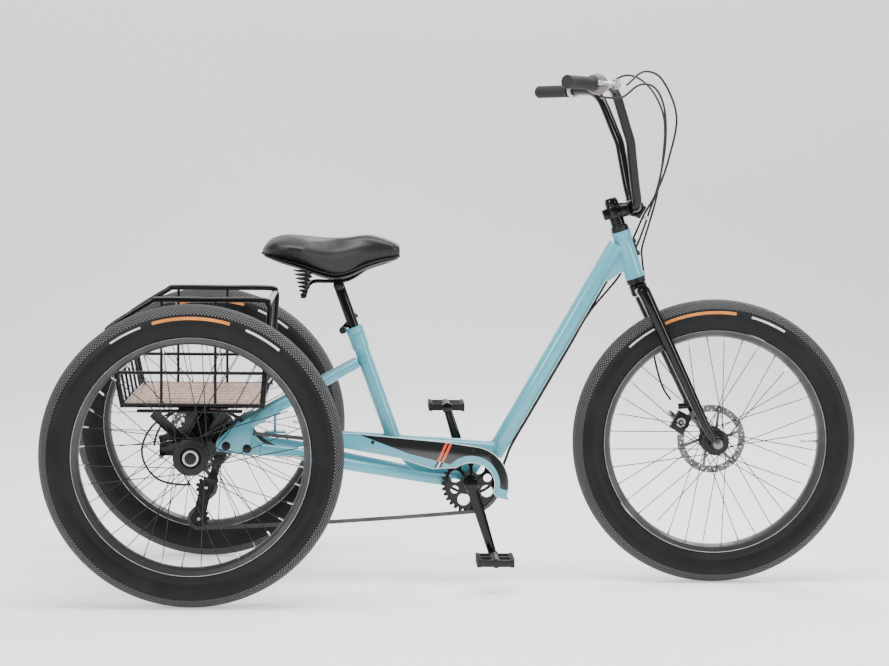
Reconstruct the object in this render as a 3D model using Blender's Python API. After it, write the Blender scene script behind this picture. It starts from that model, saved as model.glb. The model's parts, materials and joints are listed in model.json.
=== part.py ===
"""Adult tricycle: two wheels behind, a wire basket over them, a low frame and a high-rise bar.

Metres, +Z up, +X forward, +Y to the rider's left. The origin is on the ground, half way between
the front and rear axles. Each object is one separate piece with its own material.
"""

import math

import bmesh
import bpy
from mathutils import Matrix, Vector

# --- Wheels ---
WHEEL_RADIUS = 0.330
HALF_WHEELBASE = 0.5945
TRACK_HALF = 0.350
TYRE_HALF_WIDTH = 0.0385
TREAD_HALF_FLAT = 0.012
BEAD_RADIUS = 0.2600
RIM_EDGE_RADIUS = 0.2592
RIM_BED_RADIUS = 0.2520
RIM_INNER_RADIUS = 0.2435
RIM_HALF_WIDTH = 0.0245
WHEEL_SIDES = 32
SPOKE_COUNT = 18
SPOKE_RADIUS = 0.0012
SPOKE_CROSS = math.radians(60.0)
FRONT_AXLE = Vector((HALF_WHEELBASE, 0.0, WHEEL_RADIUS))
REAR_AXLE = Vector((-HALF_WHEELBASE, 0.0, WHEEL_RADIUS))

# --- Steering axis, from the crown up through the head tube ---
HEAD_POINT = Vector((0.3875, 0.0, 0.761))
HEAD_TILT = math.radians(18.5)
HEAD_UP = Vector((-math.sin(HEAD_TILT), 0.0, math.cos(HEAD_TILT)))
HEAD_FRONT = Vector((math.cos(HEAD_TILT), 0.0, math.sin(HEAD_TILT)))
HEAD_TUBE_LOW = -0.0555
HEAD_TUBE_HIGH = 0.0575
HEAD_TUBE_RADIUS = 0.0213
STEERER_RADIUS = 0.0140

# --- Frame tubes ---
SEAT_TOP = Vector((-0.2395, 0.0, 0.574))
SEAT_LOW = Vector((-0.1515, 0.0, 0.333))
SEAT_UP = (SEAT_TOP - SEAT_LOW).normalized()
SEAT_TUBE_RADIUS = 0.0170
SEATPOST_RADIUS = 0.0127
MAIN_REAR = Vector((-0.3000, 0.0, 0.3310))
MAIN_FRONT = Vector((0.0860, 0.0, 0.3080))
MAIN_RADIUS = 0.0190
DOWN_LOW = Vector((0.0850, 0.0, 0.3000))
DOWN_TOP = Vector((0.3610, 0.0, 0.7850))
DOWN_RADIUS = 0.0200
BRACKET = Vector((0.0270, 0.0, 0.2330))
BRACKET_RADIUS = 0.0205
BRACKET_HALF = 0.0365

# --- Drive ---
CHAIN_Y = -0.0500
CHAIN_PITCH = 0.0127
RING_TEETH = 32
COG_TEETH = (14, 16, 18, 20, 22, 24, 28)
COG_STEP = 0.0050
PULLEY_TEETH = 11
GUIDE_PULLEY = Vector((-0.5800, CHAIN_Y, 0.2220))
TENSION_PULLEY = Vector((-0.5970, CHAIN_Y, 0.1500))
CRANK_LENGTH = 0.1700
CRANK_ANGLE = math.radians(-72.4)
CRANK_Y = 0.0760
PEDAL_Y = 0.1420
CHAIN_SAG = 0.0040

# --- Rear carrier and basket ---
PLATE_Y = 0.0720
CARRIER_Y = 0.2600
AXLE_RADIUS = 0.0085
AXLE_BORE = 0.0092
BASKET_HALF = 0.2600
BASKET_TOP_Z = 0.6640
BASKET_MID_Z = 0.5030
BASKET_BASE_Z = 0.4310
BASKET_RAIL = 0.0064
BASKET_WIRE = 0.0038

# --- Disc brakes ---
ROTOR_Y = 0.0400
REAR_CALIPER_ANGLE = math.radians(193.0)
FRONT_CALIPER_ANGLE = math.radians(152.0)
CALIPER_RADIUS = 0.0820
BARREL_RADIUS = 0.0760

# --- Bars and controls ---
BAR_RADIUS = 0.0111
GRIP_RADIUS = 0.0155
GRIP_LENGTH = 0.1250
BAR_CLAMP = HEAD_POINT + HEAD_UP * 0.0994 + HEAD_FRONT * 0.0464
CABLE_RADIUS = 0.0025

# --- Colours ---
TEAL = (0.215, 0.560, 0.620, 1.0)
BLACK_GLOSS = (0.012, 0.012, 0.013, 1.0)
BLACK_MATT = (0.022, 0.022, 0.023, 1.0)
RUBBER = (0.018, 0.018, 0.018, 1.0)
STEEL = (0.620, 0.620, 0.610, 1.0)
WOOD = (0.640, 0.440, 0.370, 1.0)

GAP = 0.0003
MATERIALS = {}


def material(name, colour, roughness, metallic=0.0):
    """Return the material of this name, making it the first time."""
    if name not in MATERIALS:
        made = bpy.data.materials.new(name)
        made.use_nodes = True
        shader = made.node_tree.nodes["Principled BSDF"]
        shader.inputs["Base Color"].default_value = colour
        shader.inputs["Roughness"].default_value = roughness
        shader.inputs["Metallic"].default_value = metallic
        MATERIALS[name] = made
    return MATERIALS[name]


def teal_paint():
    return material("frame_paint", TEAL, 0.25)


def black_paint():
    return material("black_gloss", BLACK_GLOSS, 0.20)


def black_part():
    return material("black_plastic", BLACK_MATT, 0.55)


def black_metal():
    return material("black_anodised", BLACK_MATT, 0.40, 0.8)


def steel():
    return material("bright_steel", STEEL, 0.25, 1.0)


# --- Shapes: each returns a loose mesh object, to be united or cut ---

def as_object(bm, name="shape"):
    """Turn a bmesh into an object with its faces pointing out."""
    bmesh.ops.recalc_face_normals(bm, faces=bm.faces)
    mesh = bpy.data.meshes.new(name)
    bm.to_mesh(mesh)
    bm.free()
    obj = bpy.data.objects.new(name, mesh)
    bpy.context.scene.collection.objects.link(obj)
    return obj


def rod(start, end, radius, end_radius=None, sides=12):
    """A round bar or cone between two points."""
    start = Vector(start)
    run = Vector(end) - start
    place = Matrix.Translation(start + run * 0.5) @ run.to_track_quat("Z", "Y").to_matrix().to_4x4()
    bm = bmesh.new()
    bmesh.ops.create_cone(bm, cap_ends=True, cap_tris=False, segments=sides, radius1=radius,
                          radius2=radius if end_radius is None else end_radius,
                          depth=run.length, matrix=place)
    return as_object(bm)


def along_y(centre, y_from, y_to, radius, sides=16):
    """A round bar that lies across the trike, through centre's X and Z."""
    return rod((centre[0], y_from, centre[2]), (centre[0], y_to, centre[2]), radius, sides=sides)


def box(centre, size, tilt=0.0):
    """A box, tilted about Y by an angle that lifts its +X end."""
    place = Matrix.Translation(Vector(centre)) @ Matrix.Rotation(-tilt, 4, "Y")
    bm = bmesh.new()
    bmesh.ops.create_cube(bm, size=1.0, matrix=place @ Matrix.Diagonal((*size, 1.0)))
    return as_object(bm)


def plate(outline, y_from, y_to):
    """A flat plate: an outline of (x, z) points, extruded across the trike."""
    bm = bmesh.new()
    face = bm.faces.new([bm.verts.new((x, y_from, z)) for x, z in outline])
    swept = bmesh.ops.extrude_face_region(bm, geom=[face])["geom"]
    moved = [item for item in swept if isinstance(item, bmesh.types.BMVert)]
    bmesh.ops.translate(bm, verts=moved, vec=(0.0, y_to - y_from, 0.0))
    return as_object(bm)


def turned(profile, centre, sides=WHEEL_SIDES):
    """A ring turned about Y: profile is a closed outline of (radius, y) points.

    It starts half a side round, so that a flat side faces straight down.
    """
    angle = math.pi / sides
    bm = bmesh.new()
    verts = [bm.verts.new((centre[0] + r * math.cos(angle), centre[1] + y, centre[2] + r * math.sin(angle)))
             for r, y in profile]
    edges = [bm.edges.new((verts[i - 1], verts[i])) for i in range(len(verts))]
    bmesh.ops.spin(bm, geom=verts + edges, cent=centre, axis=(0.0, 1.0, 0.0), angle=2.0 * math.pi,
                   steps=sides, use_duplicate=False)
    bmesh.ops.remove_doubles(bm, verts=bm.verts, dist=0.00002)
    return as_object(bm)


def smooth_points(points, steps):
    """Points along a Catmull-Rom curve through the given points."""
    ends = [2 * points[0] - points[1]] + list(points) + [2 * points[-1] - points[-2]]
    found = []
    for a, b, c, d in zip(ends, ends[1:], ends[2:], ends[3:]):
        for step in range(steps):
            t = step / steps
            found.append(0.5 * (2 * b + (c - a) * t + (2 * a - 5 * b + 4 * c - d) * t ** 2
                                + (3 * b - a - 3 * c + d) * t ** 3))
    return found + [points[-1]]


def bent_tube(points, radius, resolution=3, steps=0):
    """A bent round tube along a route, as a mesh with closed ends."""
    route = [Vector(point) for point in points]
    if steps:
        route = smooth_points(route, steps)
    curve = bpy.data.curves.new("route", "CURVE")
    curve.dimensions = "3D"
    curve.bevel_depth = radius
    curve.bevel_resolution = resolution
    curve.use_fill_caps = True
    spline = curve.splines.new("POLY")
    spline.points.add(len(route) - 1)
    for point, place in zip(spline.points, route):
        point.co = (*place, 1.0)
    guide = bpy.data.objects.new("route", curve)
    bpy.context.scene.collection.objects.link(guide)
    bpy.context.view_layer.update()
    graph = bpy.context.evaluated_depsgraph_get()
    bm = bmesh.new()
    bm.from_mesh(guide.evaluated_get(graph).to_mesh())
    bmesh.ops.remove_doubles(bm, verts=bm.verts, dist=0.00001)
    bpy.data.objects.remove(guide)
    return as_object(bm)


def loft(sections):
    """A closed solid through rings of points, each ring with the same number of points."""
    bm = bmesh.new()
    rings = [[bm.verts.new(point) for point in section] for section in sections]
    for lower, upper in zip(rings, rings[1:]):
        for i in range(len(lower)):
            bm.faces.new((lower[i - 1], lower[i], upper[i], upper[i - 1]))
    bm.faces.new(rings[0])
    bm.faces.new(rings[-1])
    return as_object(bm)


# --- Finished pieces ---

def combine(target, others, operation, self_overlap):
    """Apply one Boolean to target and remove its tools."""
    joined = others[0]
    if len(others) > 1:
        bm = bmesh.new()
        for other in others:
            bm.from_mesh(other.data)
            bpy.data.objects.remove(other)
        joined = as_object(bm)
    modifier = target.modifiers.new("combine", "BOOLEAN")
    modifier.operation = operation
    modifier.solver = "EXACT"
    modifier.use_self = self_overlap
    modifier.object = joined
    bpy.context.view_layer.update()
    graph = bpy.context.evaluated_depsgraph_get()
    mesh = bpy.data.meshes.new_from_object(target.evaluated_get(graph))
    target.modifiers.clear()
    target.data = mesh
    bpy.data.objects.remove(joined)


def piece(name, shapes, finish, cuts=(), origin=(0.0, 0.0, 0.0), smooth=True, parent=None):
    """One closed, named piece: shapes united, cuts taken away, origin on its joint's axis."""
    body = shapes[0]
    if len(shapes) > 1:
        combine(body, list(shapes[1:]), "UNION", len(shapes) > 2)
    if cuts:
        combine(body, list(cuts), "DIFFERENCE", len(cuts) > 1)
    body.name = name
    body.data.name = name
    body.data.transform(Matrix.Translation(-Vector(origin)))
    body.location = origin
    body.data.materials.clear()
    body.data.materials.append(finish)
    if smooth:
        body.data.shade_smooth()
        body.data.set_sharp_from_angle(angle=math.radians(35.0))
    if parent is not None:
        body.parent = parent
        body.matrix_parent_inverse = parent.matrix_world.inverted()
    return body


def pivot(name, place, parent=None):
    """An empty on a joint's axis, which the moving pieces hang from."""
    empty = bpy.data.objects.new(name, None)
    empty.empty_display_size = 0.03
    bpy.context.scene.collection.objects.link(empty)
    if parent is None:
        empty.location = place
    else:
        empty.parent = parent
        empty.matrix_parent_inverse = parent.matrix_world.inverted()
        empty.location = place
    bpy.context.view_layer.update()
    return empty


def head_at(height, forward=0.0, y=0.0):
    """A point by its height along the steering axis and its distance ahead of it."""
    point = HEAD_POINT + HEAD_UP * height + HEAD_FRONT * forward
    return Vector((point.x, y, point.z))


def mirrored(points):
    return [Vector((point[0], -point[1], point[2])) for point in points]


# --- Frame ---

def make_main_frame():
    seat_rings = rod(SEAT_TOP - SEAT_UP * 0.034, SEAT_TOP - SEAT_UP * 0.0005, 0.0195, sides=14)
    gusset = plate([(-0.140, 0.322), (-0.138, 0.288), (-0.097, 0.254), (-0.030, 0.243),
                    (0.020, 0.232), (0.040, 0.244), (0.070, 0.300)], -0.016, 0.016)
    shapes = [
        rod(head_at(HEAD_TUBE_LOW), head_at(HEAD_TUBE_HIGH), HEAD_TUBE_RADIUS, sides=16),
        rod(DOWN_LOW, DOWN_TOP, DOWN_RADIUS, sides=14),
        plate([(0.350, 0.780), (0.316, 0.700), (0.346, 0.701), (0.370, 0.721), (0.392, 0.722),
               (0.378, 0.790)], -0.0120, 0.0120),
        rod(MAIN_REAR, MAIN_FRONT, MAIN_RADIUS, sides=14),
        rod(SEAT_LOW, SEAT_TOP - SEAT_UP * 0.001, SEAT_TUBE_RADIUS, sides=14),
        seat_rings,
        gusset,
        along_y(BRACKET, -BRACKET_HALF, BRACKET_HALF, BRACKET_RADIUS),
    ]
    cuts = [
        rod(head_at(-0.10), head_at(0.10), 0.0162, sides=16),
        rod(SEAT_TOP - SEAT_UP * 0.215, SEAT_TOP + SEAT_UP * 0.02, 0.0134, sides=14),
        along_y(BRACKET, -0.06, 0.06, 0.0130),
        box(SEAT_TOP + Vector((0.018, 0.0, 0.0)) - SEAT_UP * 0.024, (0.02, 0.004, 0.012)),
    ]
    piece("main_frame", shapes, teal_paint(), cuts)


def stay_section(centre, half_height, half_width, sides=12):
    """An upright oval ring of points, for a flattened stay."""
    return [Vector((centre[0], centre[1] + half_width * math.cos(2 * math.pi * i / sides),
                    centre[2] + half_height * math.sin(2 * math.pi * i / sides))) for i in range(sides)]


def stay_shapes(side):
    """The lower stay, the seat stay and the rear plate of one side."""
    lower_route = [(-0.018, 0.0300, 0.2385), (-0.060, 0.0345, 0.2430), (-0.137, 0.0440, 0.2560),
                   (-0.265, 0.0620, 0.2790), (-0.366, 0.0680, 0.3020), (-0.455, PLATE_Y, 0.3130)]
    sections = [stay_section((x, side * y, z), 0.0128, 0.0088) for x, y, z in lower_route]
    low_y = side * PLATE_Y
    outline = [(-0.560, 0.330), (-0.545, 0.309), (-0.500, 0.303), (-0.430, 0.296), (-0.430, 0.321),
               (-0.478, 0.337), (-0.470, 0.362), (-0.500, 0.374)]
    return [
        loft(sections),
        rod((-0.236, side * 0.0180, 0.5080), (-0.500, low_y, 0.3600), 0.0118, sides=14),
        plate(outline, low_y - 0.0035, low_y + 0.0035),
    ]


def make_rear_stays():
    shapes = stay_shapes(-1.0) + stay_shapes(1.0) + [
        rod((-0.4200, -PLATE_Y, 0.4000), (-0.4200, PLATE_Y, 0.4000), 0.0080, sides=12),
        box((-0.4250, 0.0, 0.3450), (0.0500, 0.0400, 0.0040)),
        box((-0.4250, 0.0, 0.3720), (0.0060, 0.0300, 0.0560)),
    ]
    cuts = [
        along_y(REAR_AXLE, -0.10, 0.10, 0.0350),
        rod(SEAT_LOW, SEAT_TOP, SEAT_TUBE_RADIUS + GAP, sides=14),
        plate([(-0.1403, 0.36), (-0.1403, 0.288), (-0.0973, 0.2537), (-0.030, 0.2427), (0.06, 0.22),
               (0.06, 0.36)], -0.0163, 0.0163),
        along_y(BRACKET, -0.06, 0.06, BRACKET_RADIUS + GAP),
    ]
    piece("rear_stays", shapes, teal_paint(), cuts)


def guard_outline():
    """The guard's outline: a long tapered tail and a hook around the front of the chainring."""
    outer = [(-0.330, 0.3470), (-0.245, 0.3490), (-0.034, 0.3300)]
    inner = [(-0.063, 0.2690), (-0.139, 0.2930), (-0.330, 0.3260)]
    hook_outer = []
    hook_inner = []
    for step in range(9):
        angle = math.radians(82.0 - step * 100.0 / 8.0)
        hook_outer.append((BRACKET.x + 0.0860 * math.cos(angle), BRACKET.z + 0.0870 * math.sin(angle)))
    for step in range(11):
        angle = math.radians(-22.0 + step * 152.0 / 10.0)
        hook_inner.append((BRACKET.x + 0.0540 * math.cos(angle), BRACKET.z + 0.0500 * math.sin(angle)))
    return outer + hook_outer + [(0.115, 0.1970), (0.087, 0.2030)] + hook_inner + inner


def make_chain_guard():
    face_y = -0.0610
    brackets = [
        box((-0.200, -0.0400, 0.3330), (0.016, 0.0410, 0.0030)),
        box((0.030, -0.0400, 0.3155), (0.014, 0.0410, 0.0030)),
    ]
    main = rod(MAIN_REAR - Vector((0.01, 0.0, 0.0)), MAIN_FRONT + Vector((0.01, 0.0, 0.0)),
               MAIN_RADIUS + GAP, sides=14)
    seat = rod(SEAT_LOW, SEAT_TOP, SEAT_TUBE_RADIUS + GAP, sides=14)
    piece("chain_guard", [plate(guard_outline(), face_y - 0.0011, face_y + 0.0011)] + brackets,
          teal_paint(), [main, seat])


def make_headset():
    upper = rod(head_at(HEAD_TUBE_HIGH + GAP), head_at(0.0715), 0.0205, 0.0190, sides=16)
    piece("headset_upper_cup", [upper], black_metal(), [rod(head_at(0.04), head_at(0.09), 0.0152, sides=16)])
    lower = rod(head_at(-0.0685), head_at(HEAD_TUBE_LOW - GAP), 0.0215, 0.0225, sides=16)
    piece("headset_lower_cup", [lower], black_metal(), [rod(head_at(-0.09), head_at(-0.04), 0.0152, sides=16)])


def make_seat_collar():
    """A split ring on the seat tube's mouth, with the ears its skewer runs through."""
    low = SEAT_TOP
    ring = rod(low, low + SEAT_UP * 0.0165, 0.0200, sides=16)
    ears = box(low + SEAT_UP * 0.0085 + Vector((-0.0270, 0.0, 0.0)), (0.0150, 0.0220, 0.0130))
    cuts = [
        rod(low - SEAT_UP * 0.01, low + SEAT_UP * 0.03, 0.0134, sides=14),
        box(low + SEAT_UP * 0.0085 + Vector((-0.0280, 0.0, 0.0)), (0.0300, 0.0030, 0.0400)),
        rod(low + SEAT_UP * 0.0085 + Vector((-0.0285, -0.04, 0.0)),
            low + SEAT_UP * 0.0085 + Vector((-0.0285, 0.04, 0.0)), 0.0032, sides=12),
    ]
    piece("seat_collar", [ring, ears], black_metal(), cuts)


def clamp_centre():
    return SEAT_TOP + SEAT_UP * 0.0085 + Vector((-0.0285, 0.0, 0.0))


def make_clamp_lever():
    """The quick-release skewer and its cam lever, which swings about the skewer's line."""
    centre = clamp_centre()
    shapes = [
        along_y(centre, -0.0200, 0.0200, 0.0026, sides=12),
        along_y(centre, -0.0200, -0.0115, 0.0080, sides=16),
        along_y(centre, 0.0115, 0.0230, 0.0075, sides=16),
        box(centre + Vector((0.0160, 0.0195, 0.0180)), (0.0480, 0.0060, 0.0120), math.radians(48.0)),
    ]
    piece("seat_clamp_lever", shapes, black_metal(), origin=centre)


# --- Wheels ---

def tyre_profile():
    """An open C: outer carcass from bead to bead, and back along its inside."""
    centre_radius = 0.2925
    outer = []
    for step in range(3):
        angle = math.radians(-48.0 + step * 48.0)
        outer.append((centre_radius + 0.0362 * math.sin(angle), TYRE_HALF_WIDTH * math.cos(angle)))
    half = [(BEAD_RADIUS, 0.0235)] + outer[1:] + [(WHEEL_RADIUS / math.cos(math.pi / WHEEL_SIDES),
                                                  TREAD_HALF_FLAT)]
    inside = [(0.3220, 0.0120), (0.2930, 0.0330), (BEAD_RADIUS, 0.0190)]
    outline = [(r, -y) for r, y in half] + [(r, y) for r, y in reversed(half)]
    outline += [(r, y) for r, y in reversed(inside)] + [(r, -y) for r, y in inside]
    return outline


def rim_profile():
    bed = RIM_BED_RADIUS
    return [(RIM_INNER_RADIUS, -0.0130), (RIM_INNER_RADIUS, 0.0130),
            (RIM_EDGE_RADIUS, RIM_HALF_WIDTH), (RIM_EDGE_RADIUS, RIM_HALF_WIDTH - 0.0025),
            (bed, RIM_HALF_WIDTH - 0.0050), (bed, 0.0050 - RIM_HALF_WIDTH),
            (RIM_EDGE_RADIUS, 0.0025 - RIM_HALF_WIDTH), (RIM_EDGE_RADIUS, -RIM_HALF_WIDTH)]


def spokes(centre, flange_radius, flange_y):
    """Crossed spokes from the two hub flanges out to the rim's inner face."""
    made = []
    for index in range(SPOKE_COUNT):
        rim_angle = 2.0 * math.pi * (index + 0.5) / SPOKE_COUNT
        side = -1.0 if index % 2 else 1.0
        lead = SPOKE_CROSS if (index // 2) % 2 else -SPOKE_CROSS
        layer = 0.0014 if (index // 2) % 2 else -0.0014
        inner = centre + Vector((flange_radius * math.cos(rim_angle + lead), side * (flange_y + layer),
                                 flange_radius * math.sin(rim_angle + lead)))
        reach = RIM_INNER_RADIUS - 0.0022
        outer = centre + Vector((reach * math.cos(rim_angle), side * (0.004 + layer), reach * math.sin(rim_angle)))
        made.append(rod(inner, outer, SPOKE_RADIUS, sides=3))
    return made


def make_tyre_and_rim(name, centre, parent):
    piece(name + "_tyre", [turned(tyre_profile(), centre)], material("tyre_rubber", RUBBER, 0.85),
          origin=centre, parent=parent)
    piece(name + "_rim", [turned(rim_profile(), centre)], material("rim_black", BLACK_GLOSS, 0.30, 0.5),
          origin=centre, parent=parent)


def make_front_wheel(parent):
    hub_pivot = pivot("front_wheel_pivot", FRONT_AXLE, parent)
    make_tyre_and_rim("front", FRONT_AXLE, hub_pivot)
    hub = [
        along_y(FRONT_AXLE, -0.0460, 0.0460, 0.0150),
        along_y(FRONT_AXLE, -0.0350, -0.0290, 0.0305),
        along_y(FRONT_AXLE, 0.0290, 0.0350, 0.0305),
    ]
    piece("front_hub", hub + spokes(FRONT_AXLE, 0.0265, 0.0322), black_metal(),
          [along_y(FRONT_AXLE, -0.06, 0.06, 0.0056)], FRONT_AXLE, parent=hub_pivot)
    make_rotor("front_rotor", FRONT_AXLE, 0.0155, hub_pivot)


def make_rotor(name, axle, bore, parent):
    """A brake rotor: a disc lightened by six round windows."""
    disc = along_y(axle, ROTOR_Y - 0.0009, ROTOR_Y + 0.0009, 0.0800, sides=32)
    cuts = [along_y(axle, ROTOR_Y - 0.01, ROTOR_Y + 0.01, bore)]
    for index in range(6):
        angle = math.radians(60.0 * index)
        window = axle + Vector((0.0450 * math.cos(angle), 0.0, 0.0450 * math.sin(angle)))
        cuts.append(along_y(window, ROTOR_Y - 0.01, ROTOR_Y + 0.01, 0.0160, sides=8))
    piece(name, [disc], steel(), cuts, axle, parent=parent)


def flat_bar(start, end, width, thickness):
    """A flat bar between two points at one Y, its broad side facing across the trike."""
    start = Vector(start)
    end = Vector(end)
    run = end - start
    tilt = math.atan2(run.z, run.x)
    return box((start + end) * 0.5, (run.length, thickness, width), tilt)


def make_rear_wheel(name, side):
    centre = Vector((REAR_AXLE.x, side * TRACK_HALF, REAR_AXLE.z))
    hub_pivot = pivot(name + "_wheel_pivot", centre)
    make_tyre_and_rim(name, centre, hub_pivot)
    y = centre.y
    hub = [
        along_y(centre, y - 0.0380, y + 0.0380, 0.0200),
        along_y(centre, y - 0.0355, y - 0.0295, 0.0390),
        along_y(centre, y + 0.0295, y + 0.0355, 0.0390),
    ]
    piece(name + "_hub", hub + spokes(centre, 0.0345, 0.0325), black_metal(),
          [along_y(centre, y - 0.06, y + 0.06, AXLE_BORE)], centre, parent=hub_pivot)
    return hub_pivot


def make_rear_axle(parent):
    """The live axle, with its end nuts, and the rotor that it carries."""
    end = TRACK_HALF + 0.0470
    shapes = [
        along_y(REAR_AXLE, -end, end, AXLE_RADIUS),
        along_y(REAR_AXLE, -end + 0.0010, -TRACK_HALF - 0.0385, 0.0165),
        along_y(REAR_AXLE, TRACK_HALF + 0.0385, end - 0.0010, 0.0165),
    ]
    piece("rear_axle", shapes, steel(), origin=REAR_AXLE, parent=parent)
    make_rotor("rear_rotor", REAR_AXLE, 0.0088, parent)


# --- Drive ---

def pitch_radius(teeth):
    return CHAIN_PITCH / (2.0 * math.sin(math.pi / teeth))


def toothed(centre, teeth, thickness, y, tooth=0.0042):
    """A sprocket blank with simple teeth, one between each two rollers of its chain."""
    outer = pitch_radius(teeth) + tooth
    inner = pitch_radius(teeth) - 0.0042
    outline = []
    for index in range(teeth):
        for offset, radius in ((0.0, outer), (0.5, inner)):
            angle = 2.0 * math.pi * (index + offset) / teeth
            outline.append((centre.x + radius * math.cos(angle), centre.z + radius * math.sin(angle)))
    return plate(outline, y - thickness * 0.5, y + thickness * 0.5)


def tangent_run(start, start_sign, end, end_sign):
    """Where the straight run of chain leaves one sprocket and meets the next.

    Each sprocket is (x, z, radius); its sign is +1 where the chain turns clockwise, seen from -Y.
    """
    gap = Vector((end[0] - start[0], end[1] - start[1]))
    base = math.atan2(gap.y, gap.x)
    angle = base + math.asin((end_sign * end[2] - start_sign * start[2]) / gap.length)
    right = Vector((math.sin(angle), -math.cos(angle)))
    leave = Vector(start[:2]) - right * start_sign * start[2]
    meet = Vector(end[:2]) - right * end_sign * end[2]
    return leave, meet


def chain_route():
    """The closed route of the chain's middle line, as (x, z) points, and its straight runs."""
    ring = (BRACKET.x, BRACKET.z, pitch_radius(RING_TEETH))
    tension = (TENSION_PULLEY.x, TENSION_PULLEY.z, pitch_radius(PULLEY_TEETH))
    guide = (GUIDE_PULLEY.x, GUIDE_PULLEY.z, pitch_radius(PULLEY_TEETH))
    cog = (REAR_AXLE.x, REAR_AXLE.z, pitch_radius(COG_TEETH[0]))
    order = [(ring, 1.0), (tension, 1.0), (guide, -1.0), (cog, 1.0)]
    runs = [tangent_run(*order[i], *order[(i + 1) % 4]) for i in range(4)]
    route = []
    for index, (wheel, sign) in enumerate(order):
        arrive = runs[index - 1][1]
        leave = runs[index][0]
        first = math.atan2(arrive.y - wheel[1], arrive.x - wheel[0])
        last = math.atan2(leave.y - wheel[1], leave.x - wheel[0])
        sweep = (last - first) * -sign % (2.0 * math.pi)
        steps = max(4, round(math.degrees(sweep) / 20.0))
        for step in range(steps + 1):
            angle = first - sign * sweep * step / steps
            route.append((wheel[0] + wheel[2] * math.cos(angle), wheel[1] + wheel[2] * math.sin(angle)))
        if index == 0:
            route += sagging_run(leave, runs[0][1])
    return route, runs


def sagging_run(start, end):
    """Points between the ends of the slack lower run."""
    points = []
    for step in range(1, 4):
        t = step / 4.0
        place = start.lerp(end, t)
        points.append((place.x, place.y - CHAIN_SAG * 4.0 * t * (1.0 - t)))
    return points


def band(route, y_from, y_to, half_height):
    """One closed line of chain side plates."""
    bm = bmesh.new()
    count = len(route)
    inner = []
    outer = []
    for index in range(count):
        before = Vector(route[index - 1])
        after = Vector(route[(index + 1) % count])
        along = (after - before).normalized()
        side = Vector((along.y, -along.x)) * half_height
        here = Vector(route[index])
        inner.append(bm.verts.new((here.x + side.x, y_from, here.y + side.y)))
        outer.append(bm.verts.new((here.x - side.x, y_from, here.y - side.y)))
    faces = [bm.faces.new((inner[i - 1], inner[i], outer[i], outer[i - 1])) for i in range(count)]
    swept = bmesh.ops.extrude_face_region(bm, geom=faces)["geom"]
    moved = [item for item in swept if isinstance(item, bmesh.types.BMVert)]
    bmesh.ops.translate(bm, verts=moved, vec=(0.0, y_to - y_from, 0.0))
    return as_object(bm)


def make_chain():
    """Two lines of side plates, joined by rollers where the chain runs straight."""
    route, runs = chain_route()
    plates = [band(route, CHAIN_Y - 0.0034, CHAIN_Y - 0.0024, 0.0040),
              band(route, CHAIN_Y + 0.0024, CHAIN_Y + 0.0034, 0.0040)]
    rollers = []
    for t in (0.25, 0.5, 0.75):
        low = Vector((sagging_run(*runs[0])[round(t * 4) - 1]))
        high = runs[3][0].lerp(runs[3][1], t)
        for place in (low, high):
            rollers.append(along_y((place.x, 0.0, place.y), CHAIN_Y - 0.0029, CHAIN_Y + 0.0029, 0.0034,
                                   sides=8))
    piece("chain", plates + rollers, steel())


def make_crank(parent_name="crank_pivot"):
    crank = pivot(parent_name, BRACKET)
    piece("crank_spindle", [along_y(BRACKET, -0.0740, 0.0740, 0.0085),
                            along_y(BRACKET, -0.0350, 0.0350, 0.0122)], steel(),
          origin=BRACKET, parent=crank)
    ring_plate = toothed(BRACKET, RING_TEETH, 0.0020, CHAIN_Y)
    holes = [along_y(BRACKET, -0.07, -0.03, 0.0088)]
    for index in range(8):
        angle = math.radians(45.0 * index + 20.0)
        radius = 0.0150 if index % 2 else 0.0105
        middle = BRACKET + Vector((0.0410 * math.cos(angle), 0.0, 0.0410 * math.sin(angle)))
        holes.append(along_y(middle, -0.07, -0.03, radius, sides=10))
    piece("chainring", [ring_plate], black_metal(), holes, BRACKET, parent=crank)
    for name, side in (("right", -1.0), ("left", 1.0)):
        make_crank_arm(name, side, crank)


def crank_end(side):
    """The pedal's end of one crank arm; the right arm points down and forward."""
    angle = CRANK_ANGLE if side < 0.0 else CRANK_ANGLE + math.pi
    return BRACKET + Vector((CRANK_LENGTH * math.cos(angle), side * CRANK_Y, CRANK_LENGTH * math.sin(angle)))


def make_crank_arm(name, side, crank):
    """A crank arm with the pedal's axle screwed into it."""
    end = crank_end(side)
    start = Vector((BRACKET.x, side * CRANK_Y, BRACKET.z))
    arm = flat_bar(start, end, 0.0200, 0.0120)
    shapes = [
        arm,
        along_y(start, side * (CRANK_Y - 0.0220), side * (CRANK_Y + 0.0070), 0.0165),
        along_y(end, side * (CRANK_Y - 0.0065), side * (CRANK_Y + 0.0065), 0.0125),
        along_y(end, side * CRANK_Y, side * (PEDAL_Y + 0.0450), 0.0045, sides=16),
    ]
    cuts = [along_y(start, side * 0.0400, side * 0.0743, 0.0088)]
    piece(name + "_crank", shapes, black_metal(), cuts, BRACKET, parent=crank)
    make_pedal(name, side, end, crank)


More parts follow.
